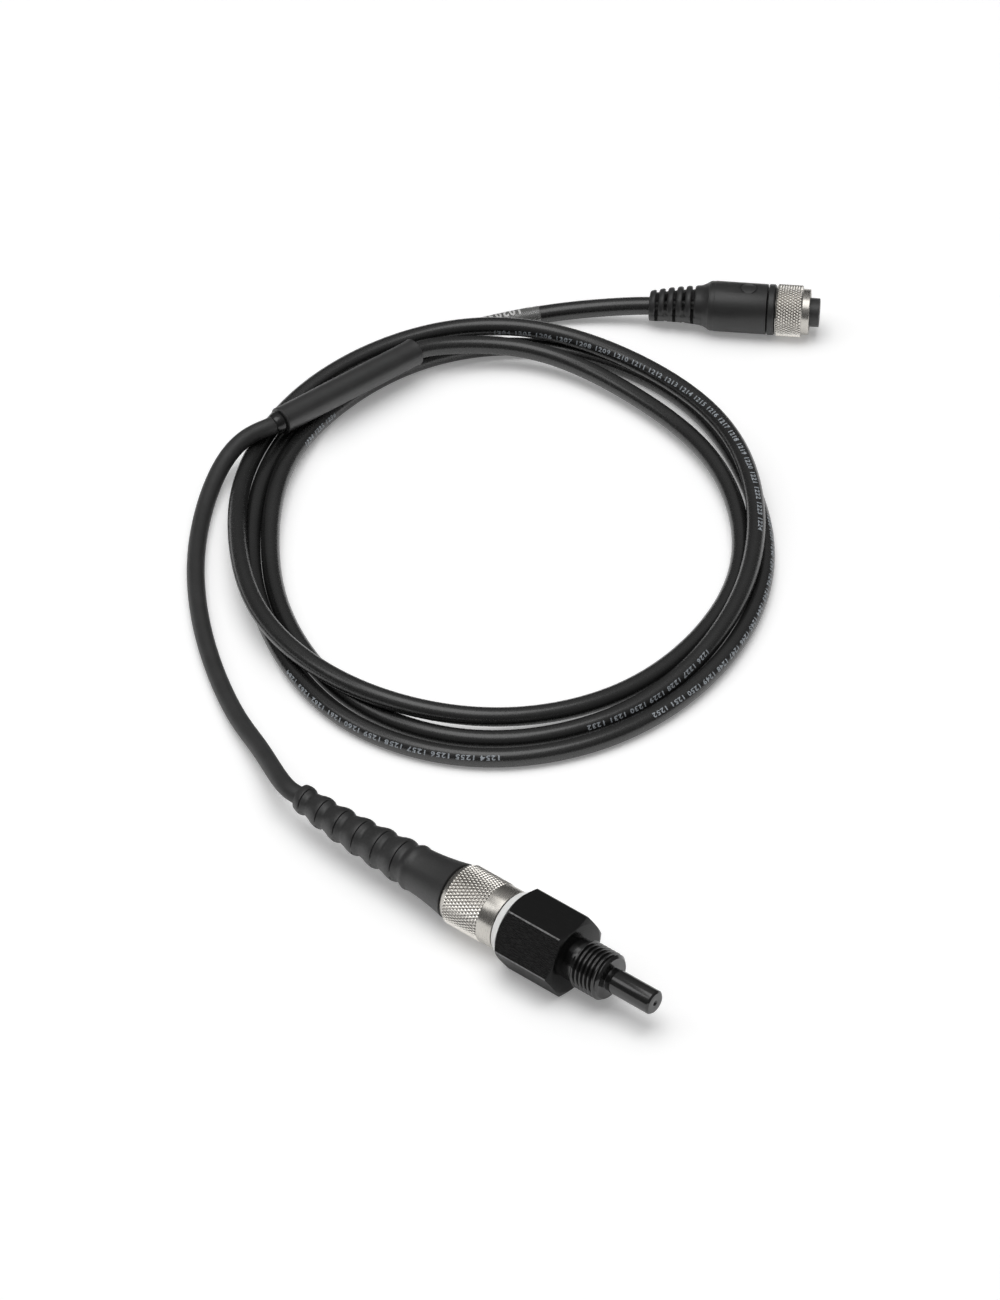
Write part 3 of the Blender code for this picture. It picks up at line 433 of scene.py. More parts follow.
def skin(bm, rings):
    """Faces between rings about X; a ring of one point is a tip."""
    for a, b in zip(rings, rings[1:]):
        sides = max(len(a), len(b))
        for j in range(sides):
            k = (j + 1) % sides
            if len(a) == 1:
                bm.faces.new((a[0], b[j], b[k]))
            elif len(b) == 1:
                bm.faces.new((a[j], b[0], a[k]))
            else:
                bm.faces.new((a[j], b[j], b[k], a[k]))


def turned(name, outline, sides=FINE, sharp=35):
    """Turned solid about X from (x, r) points; r may be a function of the angle.

    An outline that touches the axis at both ends is a solid; any other is closed to a ring.
    """
    bm = bmesh.new()
    rings = []
    for x, r in outline:
        if not callable(r) and r <= 1e-6:
            rings.append([bm.verts.new((x * MM, 0, 0))])
        else:
            rings.append(ring_of(bm, x, r, sides))
    if len(rings[0]) > 1:
        rings.append(rings[0])
    skin(bm, rings)
    return finish_mesh(bm, name, sharp)


def rounded(outline, radius, closed=True):
    """Round the corners of an (x, r) outline; nearly straight ones and those on the axis stay."""
    out, n, steps = [], len(outline), 3
    for i, p in enumerate(outline):
        at_end = not closed and i in (0, n - 1)
        a, b = Vector(outline[i - 1]), Vector(outline[(i + 1) % n])
        p = Vector(p)
        if at_end or p.y <= 1e-6 or (a - p).length < 1e-6 or (b - p).length < 1e-6:
            out.append(tuple(p))
            continue
        u, v = (a - p).normalized(), (b - p).normalized()
        turn = math.acos(max(-1.0, min(1.0, u.dot(v))))
        if turn > math.radians(165):
            out.append(tuple(p))
            continue
        cut = min(radius / math.tan(turn / 2), (a - p).length * 0.45, (b - p).length * 0.45)
        start, end = p + u * cut, p + v * cut
        for s in range(steps + 1):
            t = s / steps
            out.append(tuple(start * (1 - t) ** 2 + p * 2 * t * (1 - t) + end * t ** 2))
    return out


def baked(obj):
    """The object's mesh with its modifiers applied."""
    bpy.context.view_layer.update()
    return bpy.data.meshes.new_from_object(
        obj.evaluated_get(bpy.context.evaluated_depsgraph_get()))


def carved(mesh, cutters, bevel):
    """The mesh after exact cuts with the cutter meshes, and a small edge rounding."""
    obj = add("work", mesh)
    helpers = []
    for cutter in cutters:
        helper = add("cutter", cutter)
        mod = obj.modifiers.new("cut", 'BOOLEAN')
        mod.operation, mod.solver, mod.object = 'DIFFERENCE', 'EXACT', helper
        helpers.append(helper)
    mod = obj.modifiers.new("round", 'BEVEL')
    mod.width = bevel * MM
    mod.segments = 3
    mod.limit_method = 'ANGLE'
    mod.angle_limit = math.radians(28)
    result = baked(obj)
    for extra in helpers + [obj]:
        bpy.data.objects.remove(extra, do_unlink=True)
    return shade(result, 40)


def on_axis():
    return Matrix.Translation((0, 0, AXIS_Z * MM))


def lean(mesh, start_x, length, sway, sag):
    """Lean what is behind start_x to the side and down, growing as a square."""
    for v in mesh.vertices:
        t = max(0.0, (start_x * MM - v.co.x) / (length * MM))
        v.co.y += sway * MM * t * t
        v.co.z -= sag * MM * t * t


# Cords

def smooth_route(points, per_span, radius):
    """Natural cubic spline through the route's points, never lower than a resting cord."""
    pts = np.array(points, float)
    t = np.concatenate([[0.0], np.cumsum(np.sqrt(np.linalg.norm(np.diff(pts, axis=0), axis=1)))])
    h, n = np.diff(t), len(t)
    system, right = np.eye(n), np.zeros((n, 3))
    for i in range(1, n - 1):
        system[i, i - 1:i + 2] = h[i - 1], 2 * (h[i - 1] + h[i]), h[i]
        right[i] = 6 * ((pts[i + 1] - pts[i]) / h[i] - (pts[i] - pts[i - 1]) / h[i - 1])
    bends = np.linalg.solve(system, right)
    out = []
    for i in range(n - 1):
        for u in np.arange(per_span) / per_span:
            a, b, k = 1 - u, u, h[i] ** 2 / 6
            out.append(a * pts[i] + b * pts[i + 1]
                       + k * ((a ** 3 - a) * bends[i] + (b ** 3 - b) * bends[i + 1]))
    out.append(pts[-1])
    out = np.array(out)
    out[:, 2] = np.maximum(out[:, 2], radius)
    return out


class Path:
    """A cord's centreline with an upright frame at any distance along it, in millimetres."""

    def __init__(self, points):
        self.points = np.array(points, float)
        steps = np.linalg.norm(np.diff(self.points, axis=0), axis=1)
        self.s = np.concatenate([[0.0], np.cumsum(steps)])
        self.length = self.s[-1]

    def at(self, s):
        return Vector([np.interp(s, self.s, self.points[:, k]) for k in range(3)])

    def frame(self, s):
        """Centre, direction, top and right-hand side, also a little past either end."""
        inside = max(0.0, min(self.length, s))
        near, far = max(0.0, inside - 0.6), min(self.length, inside + 0.6)
        along = (self.at(far) - self.at(near)).normalized()
        side = along.cross(Vector((0, 0, 1))).normalized()
        return self.at(inside) + along * (s - inside), along, side.cross(along).normalized(), side

    def surface(self, s, angle, radius):
        """Point on a tube round the path; angle 0 is its top and 90 its right-hand side."""
        centre, _, top, side = self.frame(s)
        return centre + radius * (math.cos(angle) * top + math.sin(angle) * side)


def tube(name, path, stations, radius_at, sides=40, sharp=50):
    """Tube along a path with a radius for each station, closed by caps."""
    bm = bmesh.new()
    rings = []
    for s in stations:
        centre, _, top, side = path.frame(s)
        r = float(radius_at(s))
        rings.append([bm.verts.new((centre + r * (math.cos(a) * top + math.sin(a) * side)) * MM)
                      for a in (2 * math.pi * j / sides for j in range(sides))])
    for a, b in zip(rings, rings[1:]):
        for j in range(sides):
            k = (j + 1) % sides
            bm.faces.new((a[j], a[k], b[k], b[j]))
    bm.faces.new(rings[0][::-1])
    bm.faces.new(rings[-1])
    return finish_mesh(bm, name, sharp)


def cord_paths():
    along = (SLEEVE_TO - SLEEVE_FROM).normalized()
    rate = 1 / BOOT_BEND_LEN
    out = Vector((-1, BOOT_SWAY * rate, -BOOT_SAG * rate)).normalized()
    tail = Vector((BOOT_TAIL_X, BOOT_SWAY, AXIS_Z - BOOT_SAG))
    lead = [tail + out * (SEAT + 0.1), tail + out * 5] + LEAD_ROUTE \
        + [SLEEVE_FROM - along * 3.5, SLEEVE_FROM - along * SEAT]
    yaw = math.radians(PLUG_YAW)
    inward = Vector((math.cos(yaw), math.sin(yaw), RELIEF_SAG / RELIEF_LEN)).normalized()
    plug = Vector((*PLUG_TAIL, RING_R - RELIEF_SAG))
    leave = (along + Vector((EXIT_LEAN, 0, 0))).normalized()
    cable = [SLEEVE_TO + leave * 2 * SEAT, SLEEVE_TO + leave * 3] + CABLE_ROUTE \
        + [plug - inward * 4, plug - inward * (SEAT + 0.1)]
    lead = [tuple(p) for p in lead]
    cable = [tuple(p) for p in cable]
    return (Path(smooth_route(lead, 10, LEAD_D / 2)), Path(smooth_route(cable, 10, CABLE_D / 2)),
            Path([tuple(SLEEVE_FROM), tuple(SLEEVE_TO)]))


def sleeve_stations(length):
    return np.concatenate([[0, 0.08, 0.16, 0.25], np.linspace(0.6, length - 0.6, 70),
                           length - np.array([0.25, 0.16, 0.08, 0])])


def sleeve_radius(s, length):
    """Shrunk sleeve: slight ripples, a swollen lip at either end and a rounded edge."""
    ripple = 0.012 * math.sin(s * 0.4 + 0.6) + 0.006 * math.sin(s * 1.31)
    lip = 0.10 * math.exp(-(s / 1.2) ** 2) + 0.12 * math.exp(-((length - s) / 1.0) ** 2)
    edge = 0.25 * max(0.0, 1 - s / 0.25) + 0.25 * max(0.0, 1 - (length - s) / 0.25)
    return SLEEVE_R - 0.04 + ripple + lip - edge


def make_cords(mats):
    lead, cable, sleeve = cord_paths()
    lead_mesh = tube("lead", lead, np.linspace(-1.2, lead.length, 130), lambda s: LEAD_D / 2)
    cable_mesh = tube("cable", cable, np.linspace(-0.45, cable.length + 1.8, 700),
                      lambda s: CABLE_D / 2)
    sleeve_mesh = tube("splice", sleeve, sleeve_stations(sleeve.length),
                       lambda s: sleeve_radius(s, sleeve.length), 64, 40)
    pieces = [piece("lead", lead_mesh, mats["lead"], stands_for=["lead_cable"]),
              piece("cable", cable_mesh, mats["cable"], stands_for=["main_cable"]),
              piece("splice", sleeve_mesh, mats["sleeve"], stands_for=["splice_sleeve"])]
    return lead, cable, pieces


def sealant_ring(lead, mats):
    """Sealant squeezed out of the sleeve's end on the lead's side."""
    end, width = lead.length, 2.6

    def radius(s):
        t = (end - s) / width
        return LEAD_D / 2 + 0.03 + 0.85 * max(0.0, 1 - t) ** 0.55 - 0.25 * math.exp(-(t / 0.2) ** 2)

    mesh = tube("splice_sealant", lead, np.linspace(end - width, end - 0.02, 18), radius, 48)
    return piece("splice_sealant", mesh, mats["sealant"])


# Plain numbers printed along the cable

def digits(text, size, weight):
    """Numerals as a thin closed mesh, cut across so that they can follow a tube."""
    curve = bpy.data.curves.new("digits", 'FONT')
    curve.body = text
    curve.size = size
    curve.space_character = PRINT_SPREAD
    curve.extrude = PRINT_THICK / 2
    curve.offset = weight
    curve.resolution_u = 2
    obj = add("digits", curve)
    mesh = baked(obj)
    bpy.data.objects.remove(obj, do_unlink=True)
    bm = bmesh.new()
    bm.from_mesh(mesh)
    bmesh.ops.remove_doubles(bm, verts=bm.verts, dist=1e-5)
    height = max(v.co.y for v in bm.verts)
    for k in range(1, PRINT_BANDS):
        bmesh.ops.bisect_plane(bm, geom=bm.verts[:] + bm.edges[:] + bm.faces[:], dist=1e-6,
                               plane_co=(0, height * k / PRINT_BANDS, 0), plane_no=(0, 1, 0))
    return bm


def print_run(bm_all, path, text, start, angles, size, stretch, radius, weight):
    """Wrap numerals round the cord from start on; their tops point to its left-hand side.

    angles pairs distances along the cord with how far the print is turned from its top.
    """
    bm = digits(text, size, weight)
    middle = max(v.co.y for v in bm.verts) / 2
    at, turn = zip(*angles)
    for v in bm.verts:
        s = start + v.co.x * stretch
        angle = math.radians(float(np.interp(s, at, turn))) - (v.co.y - middle) / radius
        v.co = path.surface(s, angle, radius + PRINT_LIFT + v.co.z) * MM
    bm_all.from_mesh(as_mesh(bm, "run"))


def marks(first, count):
    return " ".join(f"{first + i:04d}" for i in range(count))


def make_print(cable, mats):
    bm = bmesh.new()
    for first, count, angles in PRINT_RUNS:
        print_run(bm, cable, marks(first, count), angles[0][0], angles, PRINT_SIZE,
                  PRINT_STRETCH, CABLE_D / 2, PRINT_WEIGHT)
    return piece("cable_numbers", finish_mesh(bm, "cable_numbers", 30), mats["ink"])


class Reversed:
    """A cord followed from its far end."""

    def __init__(self, path):
        self.path, self.length = path, path.length

    def surface(self, s, angle, radius):
        return self.path.surface(self.length - s, -angle, radius)


def make_label(cable, mats):
    """Dark label with plain numbers under a clear shrink sleeve, near the plug."""
    film_r = CABLE_D / 2 + LABEL_THICK
    film = piece("label_film", tube("label_film", cable, np.linspace(LABEL_FROM, LABEL_TO, 20),
                                    lambda s: film_r, 48), mats["label"])
    bm = bmesh.new()
    first = cable.length - LABEL_TO + 1.6
    print_run(bm, Reversed(cable), "102030", first, [(first, 5), (first + 20, -5)], LABEL_SIZE,
              1.0, film_r, LABEL_WEIGHT)
    numbers = piece("label_numbers", finish_mesh(bm, "label_numbers", 30), mats["label_ink"])
    low, high = LABEL_FROM - 3.0, LABEL_TO + 3.2
    stations = np.concatenate([[low, low + 0.15], np.linspace(low + 0.4, high - 0.9, 24),
                               [high - 0.7, high - 0.45, high - 0.2, high]])

    def radius(s):
        rim = 0.07 * math.exp(-((high - 0.45 - s) / 0.22) ** 2)
        step = 0.05 * math.exp(-((s - LABEL_TO) / 0.5) ** 2)
        return CABLE_D / 2 + 0.14 + rim + step + 0.02 * math.sin(s * 2.1) \
            - (0.10 if s in (low, high) else 0.0)

    # clear sleeve over the label; its pale colour is painted glare
    clear = piece("label_sleeve", tube("label_sleeve", cable, stations, radius, 48),
                  mats["clear"])
    return [film, numbers, clear]


# Probe body

def thread_radius(x, angle, front, back):
    """Radius of a right-hand 60 degree thread at a point, chamfered at its front."""
    phase = (x / THREAD_PITCH + angle / (2 * math.pi)) % 1.0
    from_crest = abs(phase - 0.5) * 2          # 0 at the crest, 1 at the root
    shape = min(1.0, max(0.0, (from_crest - 0.14) / 0.66))
    ridge = THREAD_R - 0.03 - THREAD_DEPTH * shape
    chamfer = THREAD_R - 0.85 + (front - x)
    runout = NECK_R + (x - back) * 1.6
    return min(ridge, chamfer, max(runout, NECK_R))


def thread_rings(bm, back, front, sides):
    """Thread surface with its mesh lines along the helix; gives its first and last ring."""
    step = THREAD_PITCH / THREAD_ROWS
    last = int((front - back) / step) + THREAD_ROWS
    rows = []
    for i in range(last + 1):
        row = []
        for j in range(sides):
            x = back + (i - THREAD_ROWS) * step + THREAD_PITCH * j / sides
            x = front if i == last else min(front, max(back, x))
            angle = 2 * math.pi * j / sides
            r = thread_radius(x, -angle, front, back)
            row.append(bm.verts.new((x * MM, r * MM * math.cos(angle), r * MM * math.sin(angle))))
        rows.append(row)
    for i in range(last):
        for j in range(sides):
            if j + 1 < sides:
                near, far = rows[i][j + 1], rows[i + 1][j + 1]
            else:
                near = rows[min(last, i + THREAD_ROWS)][0]
                far = rows[min(last, i + 1 + THREAD_ROWS)][0]
            if near is not far:
                bm.faces.new((rows[i][j], rows[i + 1][j], far, near))
            else:
                bm.faces.new((rows[i][j], rows[i + 1][j], far))
    return rows[0], rows[last]


def make_probe_front(mats):
    """Neck, thread, shoulder and tip rod, bored from behind."""
    bm = bmesh.new()

    def rings(points):
        return [[bm.verts.new((x * MM, 0, 0))] if r <= 1e-6 else ring_of(bm, x, r, FINE)
                for x, r in points]

    first, last = thread_rings(bm, THREAD_END_X, ROD_BASE_X, FINE)
    neck = rings([(HEX_FRONT_X - 1.0, NECK_R), (THREAD_END_X - 0.4, NECK_R)])
    rod = rings(rounded([
        (ROD_BASE_X, 5.3), (ROD_BASE_X, 3.0), (ROD_BASE_X + 1.4, 3.0), (ROD_BASE_X + 1.6, ROD_R),
        (TIP_X - 0.45, ROD_R), (TIP_X, ROD_R - 0.45), (TIP_X, 0.75), (TIP_X - 0.3, 0.55),
        (TIP_X - 0.8, 0)], 0.12, closed=False))
    inside = rings([(TIP_X - TIP_WALL, 0),
                    (TIP_X - TIP_WALL - ELEMENT_BORE_R * 0.6, ELEMENT_BORE_R),
                    (HEX_FRONT_X - 1.0, ELEMENT_BORE_R)])
    skin(bm, neck + [first])
    skin(bm, [last] + rod)
    skin(bm, inside + [neck[0]])
    mesh = finish_mesh(bm, "probe_front", 40)
    return piece("probe_front", mesh, mats["turned"], matrix=on_axis())


def hexagon_section():
    """Angle, radius and finish round a hexagon with rounded corners that lies on a flat."""
    apothem, corner_turn = HEX_AF / 2, math.pi / 6
    half_flat = apothem * math.tan(corner_turn) - HEX_ROUNDING * math.tan(corner_turn)
    centre_r = (apothem - HEX_ROUNDING) / math.cos(corner_turn)
    section = []
    for side in range(6):
        turn = math.radians(60 * side)
        finish = MILLED if side % 2 else BRUSHED
        for t in (-1, -0.985, -0.9, -0.6, -0.3, 0, 0.3, 0.6, 0.9, 0.985, 1):
            y = half_flat * t
            section.append((turn + math.atan2(y, apothem), math.hypot(apothem, y), finish))
        for k in range(1, 4):
            lean_by, corner = math.radians(15 * k), turn + corner_turn
            px = centre_r * math.cos(corner) + HEX_ROUNDING * math.cos(turn + lean_by)
            py = centre_r * math.sin(corner) + HEX_ROUNDING * math.sin(turn + lean_by)
            # corner strip: worn, and lighter as a painted highlight
            section.append((math.atan2(py, px), math.hypot(px, py), WORN_AND_HIGHLIT))
    return section


def make_hexagon(mats):
    """Hexagon: turned corner chamfers, soft worn edges with a painted highlight, socket bored in
    its back.
    """
    section = hexagon_section()
    n = len(section)
    bm = bmesh.new()

    def ring(x_of, r_of):
        return [bm.verts.new((x_of(r) * MM, r_of(r) * MM * math.sin(a), r_of(r) * MM * math.cos(a)))
                for a, r, _ in section]

    def plain(x, radius):
        return ring(lambda r: x, lambda r: radius)

    def front(r):
        return HEX_FRONT_X - (r - HEX_CHAMFER_R) * 0.55

    def rear(r):
        return HEX_BACK_X + (r - HEX_CHAMFER_R) * 0.75

    def same(r):
        return r

    rings = [plain(HEX_FRONT_X, 3.0), plain(HEX_FRONT_X, HEX_CHAMFER_R - 0.12),
             plain(HEX_FRONT_X - 0.03, HEX_CHAMFER_R + 0.02),
             ring(lambda r: front(r) + 0.03, lambda r: r - 0.03),
             ring(lambda r: front(r) - 0.09, same), ring(lambda r: front(r) - 0.25, same),
             ring(lambda r: rear(r) + 0.25, same), ring(lambda r: rear(r) + 0.09, same),
             ring(lambda r: rear(r) - 0.03, lambda r: r - 0.03),
             plain(HEX_BACK_X + 0.03, HEX_CHAMFER_R + 0.02),
             plain(HEX_BACK_X, HEX_CHAMFER_R - 0.12), plain(HEX_BACK_X, SOCKET_R),
             plain(HEX_BACK_X + SOCKET_LEN, SOCKET_R), plain(HEX_BACK_X + SOCKET_LEN, 3.0)]
    rings.append(rings[0])
    first_side, last_side = 3, 7           # steps between rings that make up the six sides
    for step, (a, b) in enumerate(zip(rings, rings[1:])):
        for j in range(n):
            k = (j + 1) % n
            face = bm.faces.new((a[j], b[j], b[k], a[k]))
            if not first_side <= step <= last_side:
                face.material_index = FACED
            elif WORN_AND_HIGHLIT in (section[j][2], section[k][2]):
                face.material_index = WORN_AND_HIGHLIT
            else:
                face.material_index = section[j][2]
    mesh = finish_mesh(bm, "probe_hexagon", 28)
    for finish in HEXAGON_MATERIALS:
        mesh.materials.append(mats[finish])
    return piece("probe_hexagon", mesh, None, stands_for=["probe_body"],
                 matrix=on_axis())


# Nickel rings

def knurl_height(u, v):
    """Two crossing sets of grooves between domed diamonds; 0 in a groove and 1 on a crest."""
    def wave(t):
        return 1 - abs((t % 1.0) - 0.5) * 2
    a, b = wave(u + v), wave(u - v)
    return math.sin(math.pi / 2 * min(1.0, min(a, b) * 1.3))


def knurled(name, before, x_from, x_to, knurl, after):
    """A turned ring whose middle carries a diamond knurl between two plain outlines."""
    crest, depth, around, pitch = knurl
    sides = around * KNURL_STEPS
    rows = max(4, round((x_to - x_from) / pitch * KNURL_STEPS))
    outline = list(before)
    for i in range(rows + 1):
        x = x_from + (x_to - x_from) * i / rows
        v = (x - x_from) / pitch
        outline.append((x, (lambda a, v=v: crest - depth
                            * (1 - knurl_height(a / (2 * math.pi) * around, v)))))
    outline += after
    bm = bmesh.new()
    rings = [ring_of(bm, x, r, sides) for x, r in outline]
    rings.append(rings[0])

    def high(vert):
        return math.hypot(vert.co.y, vert.co.z)

    for i, (a, b) in enumerate(zip(rings, rings[1:])):
        plain = i < len(before) or i >= len(before) + rows
        for j in range(sides):
            k = (j + 1) % sides
            if plain:
                loops = [(a[j], b[j], b[k], a[k])]
            elif abs(high(a[j]) - high(b[k])) <= abs(high(b[j]) - high(a[k])):
                loops = [(a[j], b[j], b[k]), (a[j], b[k], a[k])]
            else:
                loops = [(a[j], b[j], a[k]), (b[j], b[k], a[k])]
            for loop in loops:
                bm.faces.new(loop).material_index = 1 if plain else 0
    return finish_mesh(bm, name, 72)


def make_nut(mats):
    bore, lip = 6.95, 5.4
    before = rounded([(NUT_BACK_X + 2.6, lip), (NUT_BACK_X, lip), (NUT_BACK_X, 7.25),
                      (KNURL_BACK_X - 0.13, 7.86), (KNURL_BACK_X - 0.03, 7.9)], 0.15, closed=False)
    after = rounded([(KNURL_FRONT_X + 0.02, 8.05), (KNURL_FRONT_X + 0.10, 8.05),
                     (NUT_FRONT_X, 8.05), (NUT_FRONT_X, bore), (NUT_BACK_X + 2.6, bore)], 0.2,
                    closed=False)
    mesh = knurled("nut", before, KNURL_BACK_X, KNURL_FRONT_X, NUT_KNURL, after)
    for finish in ("knurl", "nickel"):
        mesh.materials.append(mats[finish])
    return piece("nut", mesh, None, "coupling_nut", ["coupling_nut"], on_axis())


def make_flange(mats):
    """Shell seated in the hexagon, with a pale flange; the nut turns round its plain back."""
    back_x = FLANGE_X - FLANGE_LEN
    outline = rounded([
        (HEX_BACK_X + 7.3, 5.2), (HEX_BACK_X + 7.3, 6.2), (FLANGE_X, 6.2), (FLANGE_X + 0.25, 9.5),
        (FLANGE_X - FLANGE_LEN * 0.8, 8.3), (back_x, 8.05), (back_x, 6.1), (back_x - 1.2, 6.1),
        (back_x - 1.6, 6.6), (2.45, 6.6), (1.85, 6.0), (1.85, 5.2)], 0.12)
    mesh = turned("flange", outline)
    obj = piece("flange", mesh, mats["nickel"], stands_for=["receptacle_shell"],
                matrix=on_axis())
    mesh.materials.append(mats["pale_ring"])
    for poly in mesh.polygons:
        middle = poly.center
        if middle.x > (back_x - 0.05) * MM and math.hypot(middle.y, middle.z) > 7.9 * MM:
            poly.material_index = 1
    return obj


# Boot

def crease(crest, depth):
    """Radius of a cut that runs round each half of the mould and closes at the parting lines."""
    def radius(angle):
        open_by = (abs(math.sin(angle - math.radians(185))) - 0.10) / 0.12
        return crest - 0.03 - (depth - 0.03) * min(1.0, max(0.0, open_by))
    return radius


def boot_outline():
    """Flare, shoulder, six skewed ribs each with a crease in front of its crest, and tail."""
    face_r, waist_r, flare_len = 7.5, 5.85, 13.4
    ribs, first_rib, rib_step, first_crest, taper = 6, 17.3, 6.68, 5.75, 2.0
    slope = -taper / ((ribs - 1) * rib_step)
    rise = [(-1.7, -0.66), (-1.2, -0.58), (-0.7, -0.36), (-0.3, -0.13), (-0.06, -0.05)]
    cut = [(0.02, 0.34), (0.2, 0.36)]
    fall = [(0.32, -0.01), (0.55, 0.05), (1.1, 0.04), (1.7, -0.06), (2.4, -0.22)]
    valley = [(3.2, -0.42, 1.6), (4.0, -0.54, 3), (4.6, -0.60, 4)]

    def back(distance):
        return BOOT_FACE_X - distance

    points = [(-12.85, 0), (-12.85, 5.4), (BOOT_FACE_X, 5.4), (BOOT_FACE_X, face_r - 0.15),
              (BOOT_FACE_X - 0.15, face_r)]
    for i in range(1, 15):
        u = i / 15
        points.append((back(flare_len * u), face_r + (waist_r - face_r) * (1 - (1 - u) ** 1.7)))
    points += [(back(12.9), 6.0), (back(13.4), 6.12), (back(13.9), 6.08), (back(14.5), 5.8)]
    for i in range(ribs):
        at = first_rib + i * rib_step
        crest = first_crest - taper * i / (ribs - 1)
        points += [(back(at + dx), crest + dr) for dx, dr in rise]
        points += [(back(at + dx), crease(crest, depth)) for dx, depth in cut]
        points += [(back(at + dx), crest + dr) for dx, dr in fall]
        if i < ribs - 1:
            points += [(back(at + dx), crest + dr + slope * k) for dx, dr, k in valley]
    return points + [(BOOT_TAIL_X + 0.15, 3.3), (BOOT_TAIL_X, 3.15), (BOOT_TAIL_X, 0)]


def make_boot(mats):
    mesh = turned("boot_rubber", boot_outline(), 96, 55)
    lean(mesh, BOOT_TAIL_X + BOOT_BEND_LEN, BOOT_BEND_LEN, BOOT_SWAY, BOOT_SAG)
    return piece("ribbed_boot", mesh, mats["boot"], stands_for=["boot"],
                 matrix=on_axis())


# Plug

def plug_matrix():
    return Matrix.Translation((PLUG_TAIL[0] * MM, PLUG_TAIL[1] * MM, RING_R * MM)) @ \
        Matrix.Rotation(math.radians(PLUG_YAW), 4, 'Z')


def plug_outline():
    back_r, front_r, body_r, taper, body_len, pad = 4.2, 5.5, 7.08, 4.6, 14.3, 0.12

    def upper(angle):
        return min(1.0, max(0.0, (math.sin(angle) + 0.14) / 0.05))

    def ribbed(crest, groove):
        """Grooved above the mould's parting line and a plain pad below it."""
        return lambda a: crest - groove * upper(a) + pad * (1 - upper(a))

    points = [(2.2, 0), (2.2, 2.62), (0.55, 2.62), (0.55, back_r - 0.45),
              (0.65, ribbed(back_r - 0.15, 0)), (0.95, ribbed(back_r, 0))]
    for i in range(SLOTS):
        at = SLOT_AT + i * SLOT_STEP
        crest = back_r + (front_r - back_r) * at / RELIEF_LEN
        points += [(at + dx, ribbed(crest + dx * 0.09, groove)) for dx, groove in (
            (-1.05, 0.0), (-0.8, 0.04), (-0.55, 0.20), (-0.3, 0.42), (0, 0.52), (0.3, 0.42),
            (0.55, 0.20), (0.8, 0.04), (1.05, 0.0))]
    end = RELIEF_LEN + taper
    stop = end + body_len
    points += [(RELIEF_LEN + 0.1, ribbed(front_r + 0.03, 0)),
               (RELIEF_LEN + 0.75, ribbed(front_r + 0.22, 0)), (RELIEF_LEN + 0.85, front_r + 0.26),
               (RELIEF_LEN + 1.6, front_r + 0.62), (RELIEF_LEN + 2.2, front_r + 0.98),
               (RELIEF_LEN + 2.6, body_r - 0.34), (RELIEF_LEN + 2.7, body_r - 0.22),
               (end - 1.6, body_r - 0.20), (end - 1.5, body_r - 0.10), (end - 0.4, body_r - 0.08),
               (end - 0.3, body_r), (stop - 0.18, body_r), (stop - 0.05, body_r - 0.05),
               (stop, body_r - 0.2), (stop, 4.35), (stop - 6, 4.35), (stop - 6, 0)]
    return points


def slot_sector(at, start, end, core):
    """Closed ring sector; angles in degrees up from the side that faces the camera."""
    bm = bmesh.new()
    steps = max(3, round((end - start) / 5))
    near, far = at - SLOT_WIDTH / 2, at + SLOT_WIDTH / 2
    rims = []
    for i in range(steps + 1):
        a = math.radians(start + (end - start) * i / steps)
        rims.append([bm.verts.new((x * MM, -r * MM * math.cos(a), r * MM * math.sin(a)))
                     for x, r in ((near, core), (far, core), (far, SLOT_REACH),
                                  (near, SLOT_REACH))])
    for p, q in zip(rims, rims[1:]):
        for j in range(4):
            k = (j + 1) % 4
            bm.faces.new((p[j], p[k], q[k], q[j]))
    bm.faces.new(rims[0][::-1])
    bm.faces.new(rims[-1])
    bmesh.ops.recalc_face_normals(bm, faces=bm.faces)
    return as_mesh(bm, "slot")


def merged(meshes):
    bm = bmesh.new()
    for mesh in meshes:
        bm.from_mesh(mesh)
    return as_mesh(bm, "merged")


def make_plug_moulding(mats, where):
    """Body with a round recess on top, and a relief with slots in two alternating patterns."""
    long_slots = [(-52, 85, 1.5), (97, 232, 3.6)]
    short_slots = [(13, 82, 1.5), (98, 167, 3.6), (-82, -38, 2.0), (218, 262, 2.0)]
    body = turned("plug_body", plug_outline(), 96)
    slots = merged([slot_sector(SLOT_AT + i * SLOT_STEP, *span) for i in range(SLOTS)
                    for span in (short_slots if i % 2 else long_slots)])
    for mesh in (body, slots):
        lean(mesh, RELIEF_LEN, RELIEF_LEN, 0, RELIEF_SAG)
    disc = turned("disc", [(6.72, 2.18), (6.72, 2.5), (8.1, 2.5), (8.1, 2.18)], 48)
    disc.transform(Matrix.Translation((28.2 * MM, 0, 0)) @ Matrix.Rotation(-math.pi / 2, 4, 'Y'))
    return piece("plug_moulding", carved(body, [slots, disc], 0.07), mats["plug"],
                 stands_for=["plug_body"], matrix=where)


def make_plug_collar(mats, where):
    at, bore = 33.85, 4.35
    outline = rounded([(at, bore), (at, 6.9), (at + 0.22, 7.14), (at + 1.6, 7.14),
                       (at + 1.95, 6.85), (at + 1.95, bore)], 0.12)
    return piece("plug_collar_ring", turned("plug_collar_ring", outline, 96), mats["plug"],
                 stands_for=["plug_collar"], matrix=where)


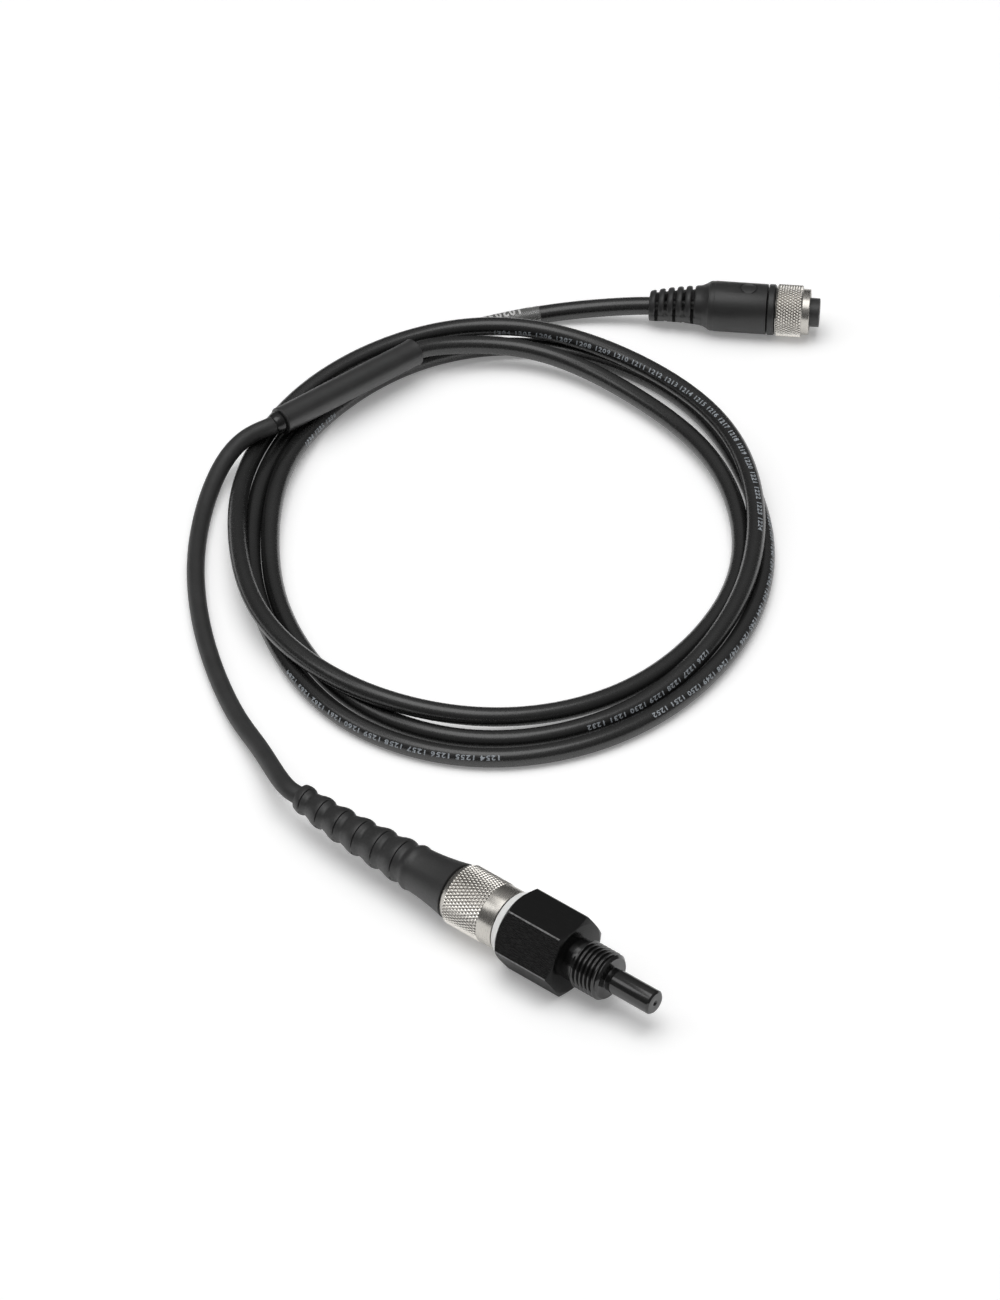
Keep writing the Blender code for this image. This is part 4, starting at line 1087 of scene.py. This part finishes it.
def make_plug_ring(mats, where):
    lip, bore, rim = 4.65, 5.6, 6.45
    knurl_end = PLUG_RING_X + 7.4
    before = rounded([(PLUG_RING_X + 2.3, lip), (PLUG_RING_X, lip), (PLUG_RING_X, 6.85),
                      (PLUG_RING_X + 0.42, 7.0)], 0.1, closed=False)
    after = rounded([(knurl_end - 0.2, 7.22), (knurl_end, 7.0), (knurl_end, rim),
                     (PLUG_FRONT_X, rim), (PLUG_FRONT_X, bore), (PLUG_RING_X + 2.3, bore)], 0.15,
                    closed=False)
    mesh = knurled("plug_nut", before, PLUG_RING_X + 0.45, knurl_end - 0.25, PLUG_KNURL, after)
    for finish in ("plug_knurl", "nickel"):
        mesh.materials.append(mats[finish])
    return piece("plug_nut", mesh, None, "plug_ring", ["plug_ring"], where)


def make_plug_nose(mats, where):
    """Flanged nose with a hole for each contact."""
    radius, pitch_r = 4.05, CONTACT_PITCH_R * MM
    nose = turned("plug_nose", rounded([
        (28.35, 0), (28.35, radius), (38.65, radius), (38.65, 5.3), (39.95, 5.3), (39.95, radius),
        (PLUG_FRONT_X + 2.7, radius), (PLUG_FRONT_X + 2.7, 0)], 0.3), 96)
    holes = []
    for i in range(4):
        a = math.radians(45 + 90 * i)
        centre = (42.2 * MM, pitch_r * math.cos(a), pitch_r * math.sin(a))
        bm = bmesh.new()
        bmesh.ops.create_cone(
            bm, cap_ends=True, segments=32, radius1=CONTACT_HOLE_R * MM,
            radius2=CONTACT_HOLE_R * MM, depth=14 * MM,
            matrix=Matrix.Translation(centre) @ Matrix.Rotation(math.pi / 2, 4, 'Y'))
        holes.append(as_mesh(bm, "hole"))
    return piece("plug_nose", carved(nose, [merged(holes)], 0.06), mats["insert"],
                 stands_for=["plug_insert"], matrix=where)


def dress_nodes(mats):
    """Procedural finishes on the CAD pieces that stay."""
    finishes = dict(CAD_FINISHES)
    finishes.update({f"{kind}_{i}": "gold" for i in CONTACTS for kind in GILDED})
    for name, finish in finishes.items():
        mesh = nodes[name].data
        mesh.materials.clear()
        mesh.materials.append(mats[finish])


def main():
    make_camera()
    mats = make_materials()
    lead, cable, (lead_piece, cable_piece, sleeve_piece) = make_cords(mats)
    make_studio()
    sealant = sealant_ring(lead, mats)
    numbers = [make_print(cable, mats)] + make_label(cable, mats)
    make_hexagon(mats)
    make_probe_front(mats)
    make_flange(mats)
    make_nut(mats)
    make_boot(mats)
    where = plug_matrix()
    moulding, collar = make_plug_moulding(mats, where), make_plug_collar(mats, where)
    plug_nut, nose = make_plug_ring(mats, where), make_plug_nose(mats, where)
    dress_nodes(mats)
    tuple(lead.at(0) * MM)
    [tuple(lead.at(s) * MM) for s in np.linspace(0, lead.length, 60)]
    tuple(cable.at(0) * MM)
    [tuple(cable.at(s) * MM) for s in np.linspace(0, cable.length, 300)]


main()
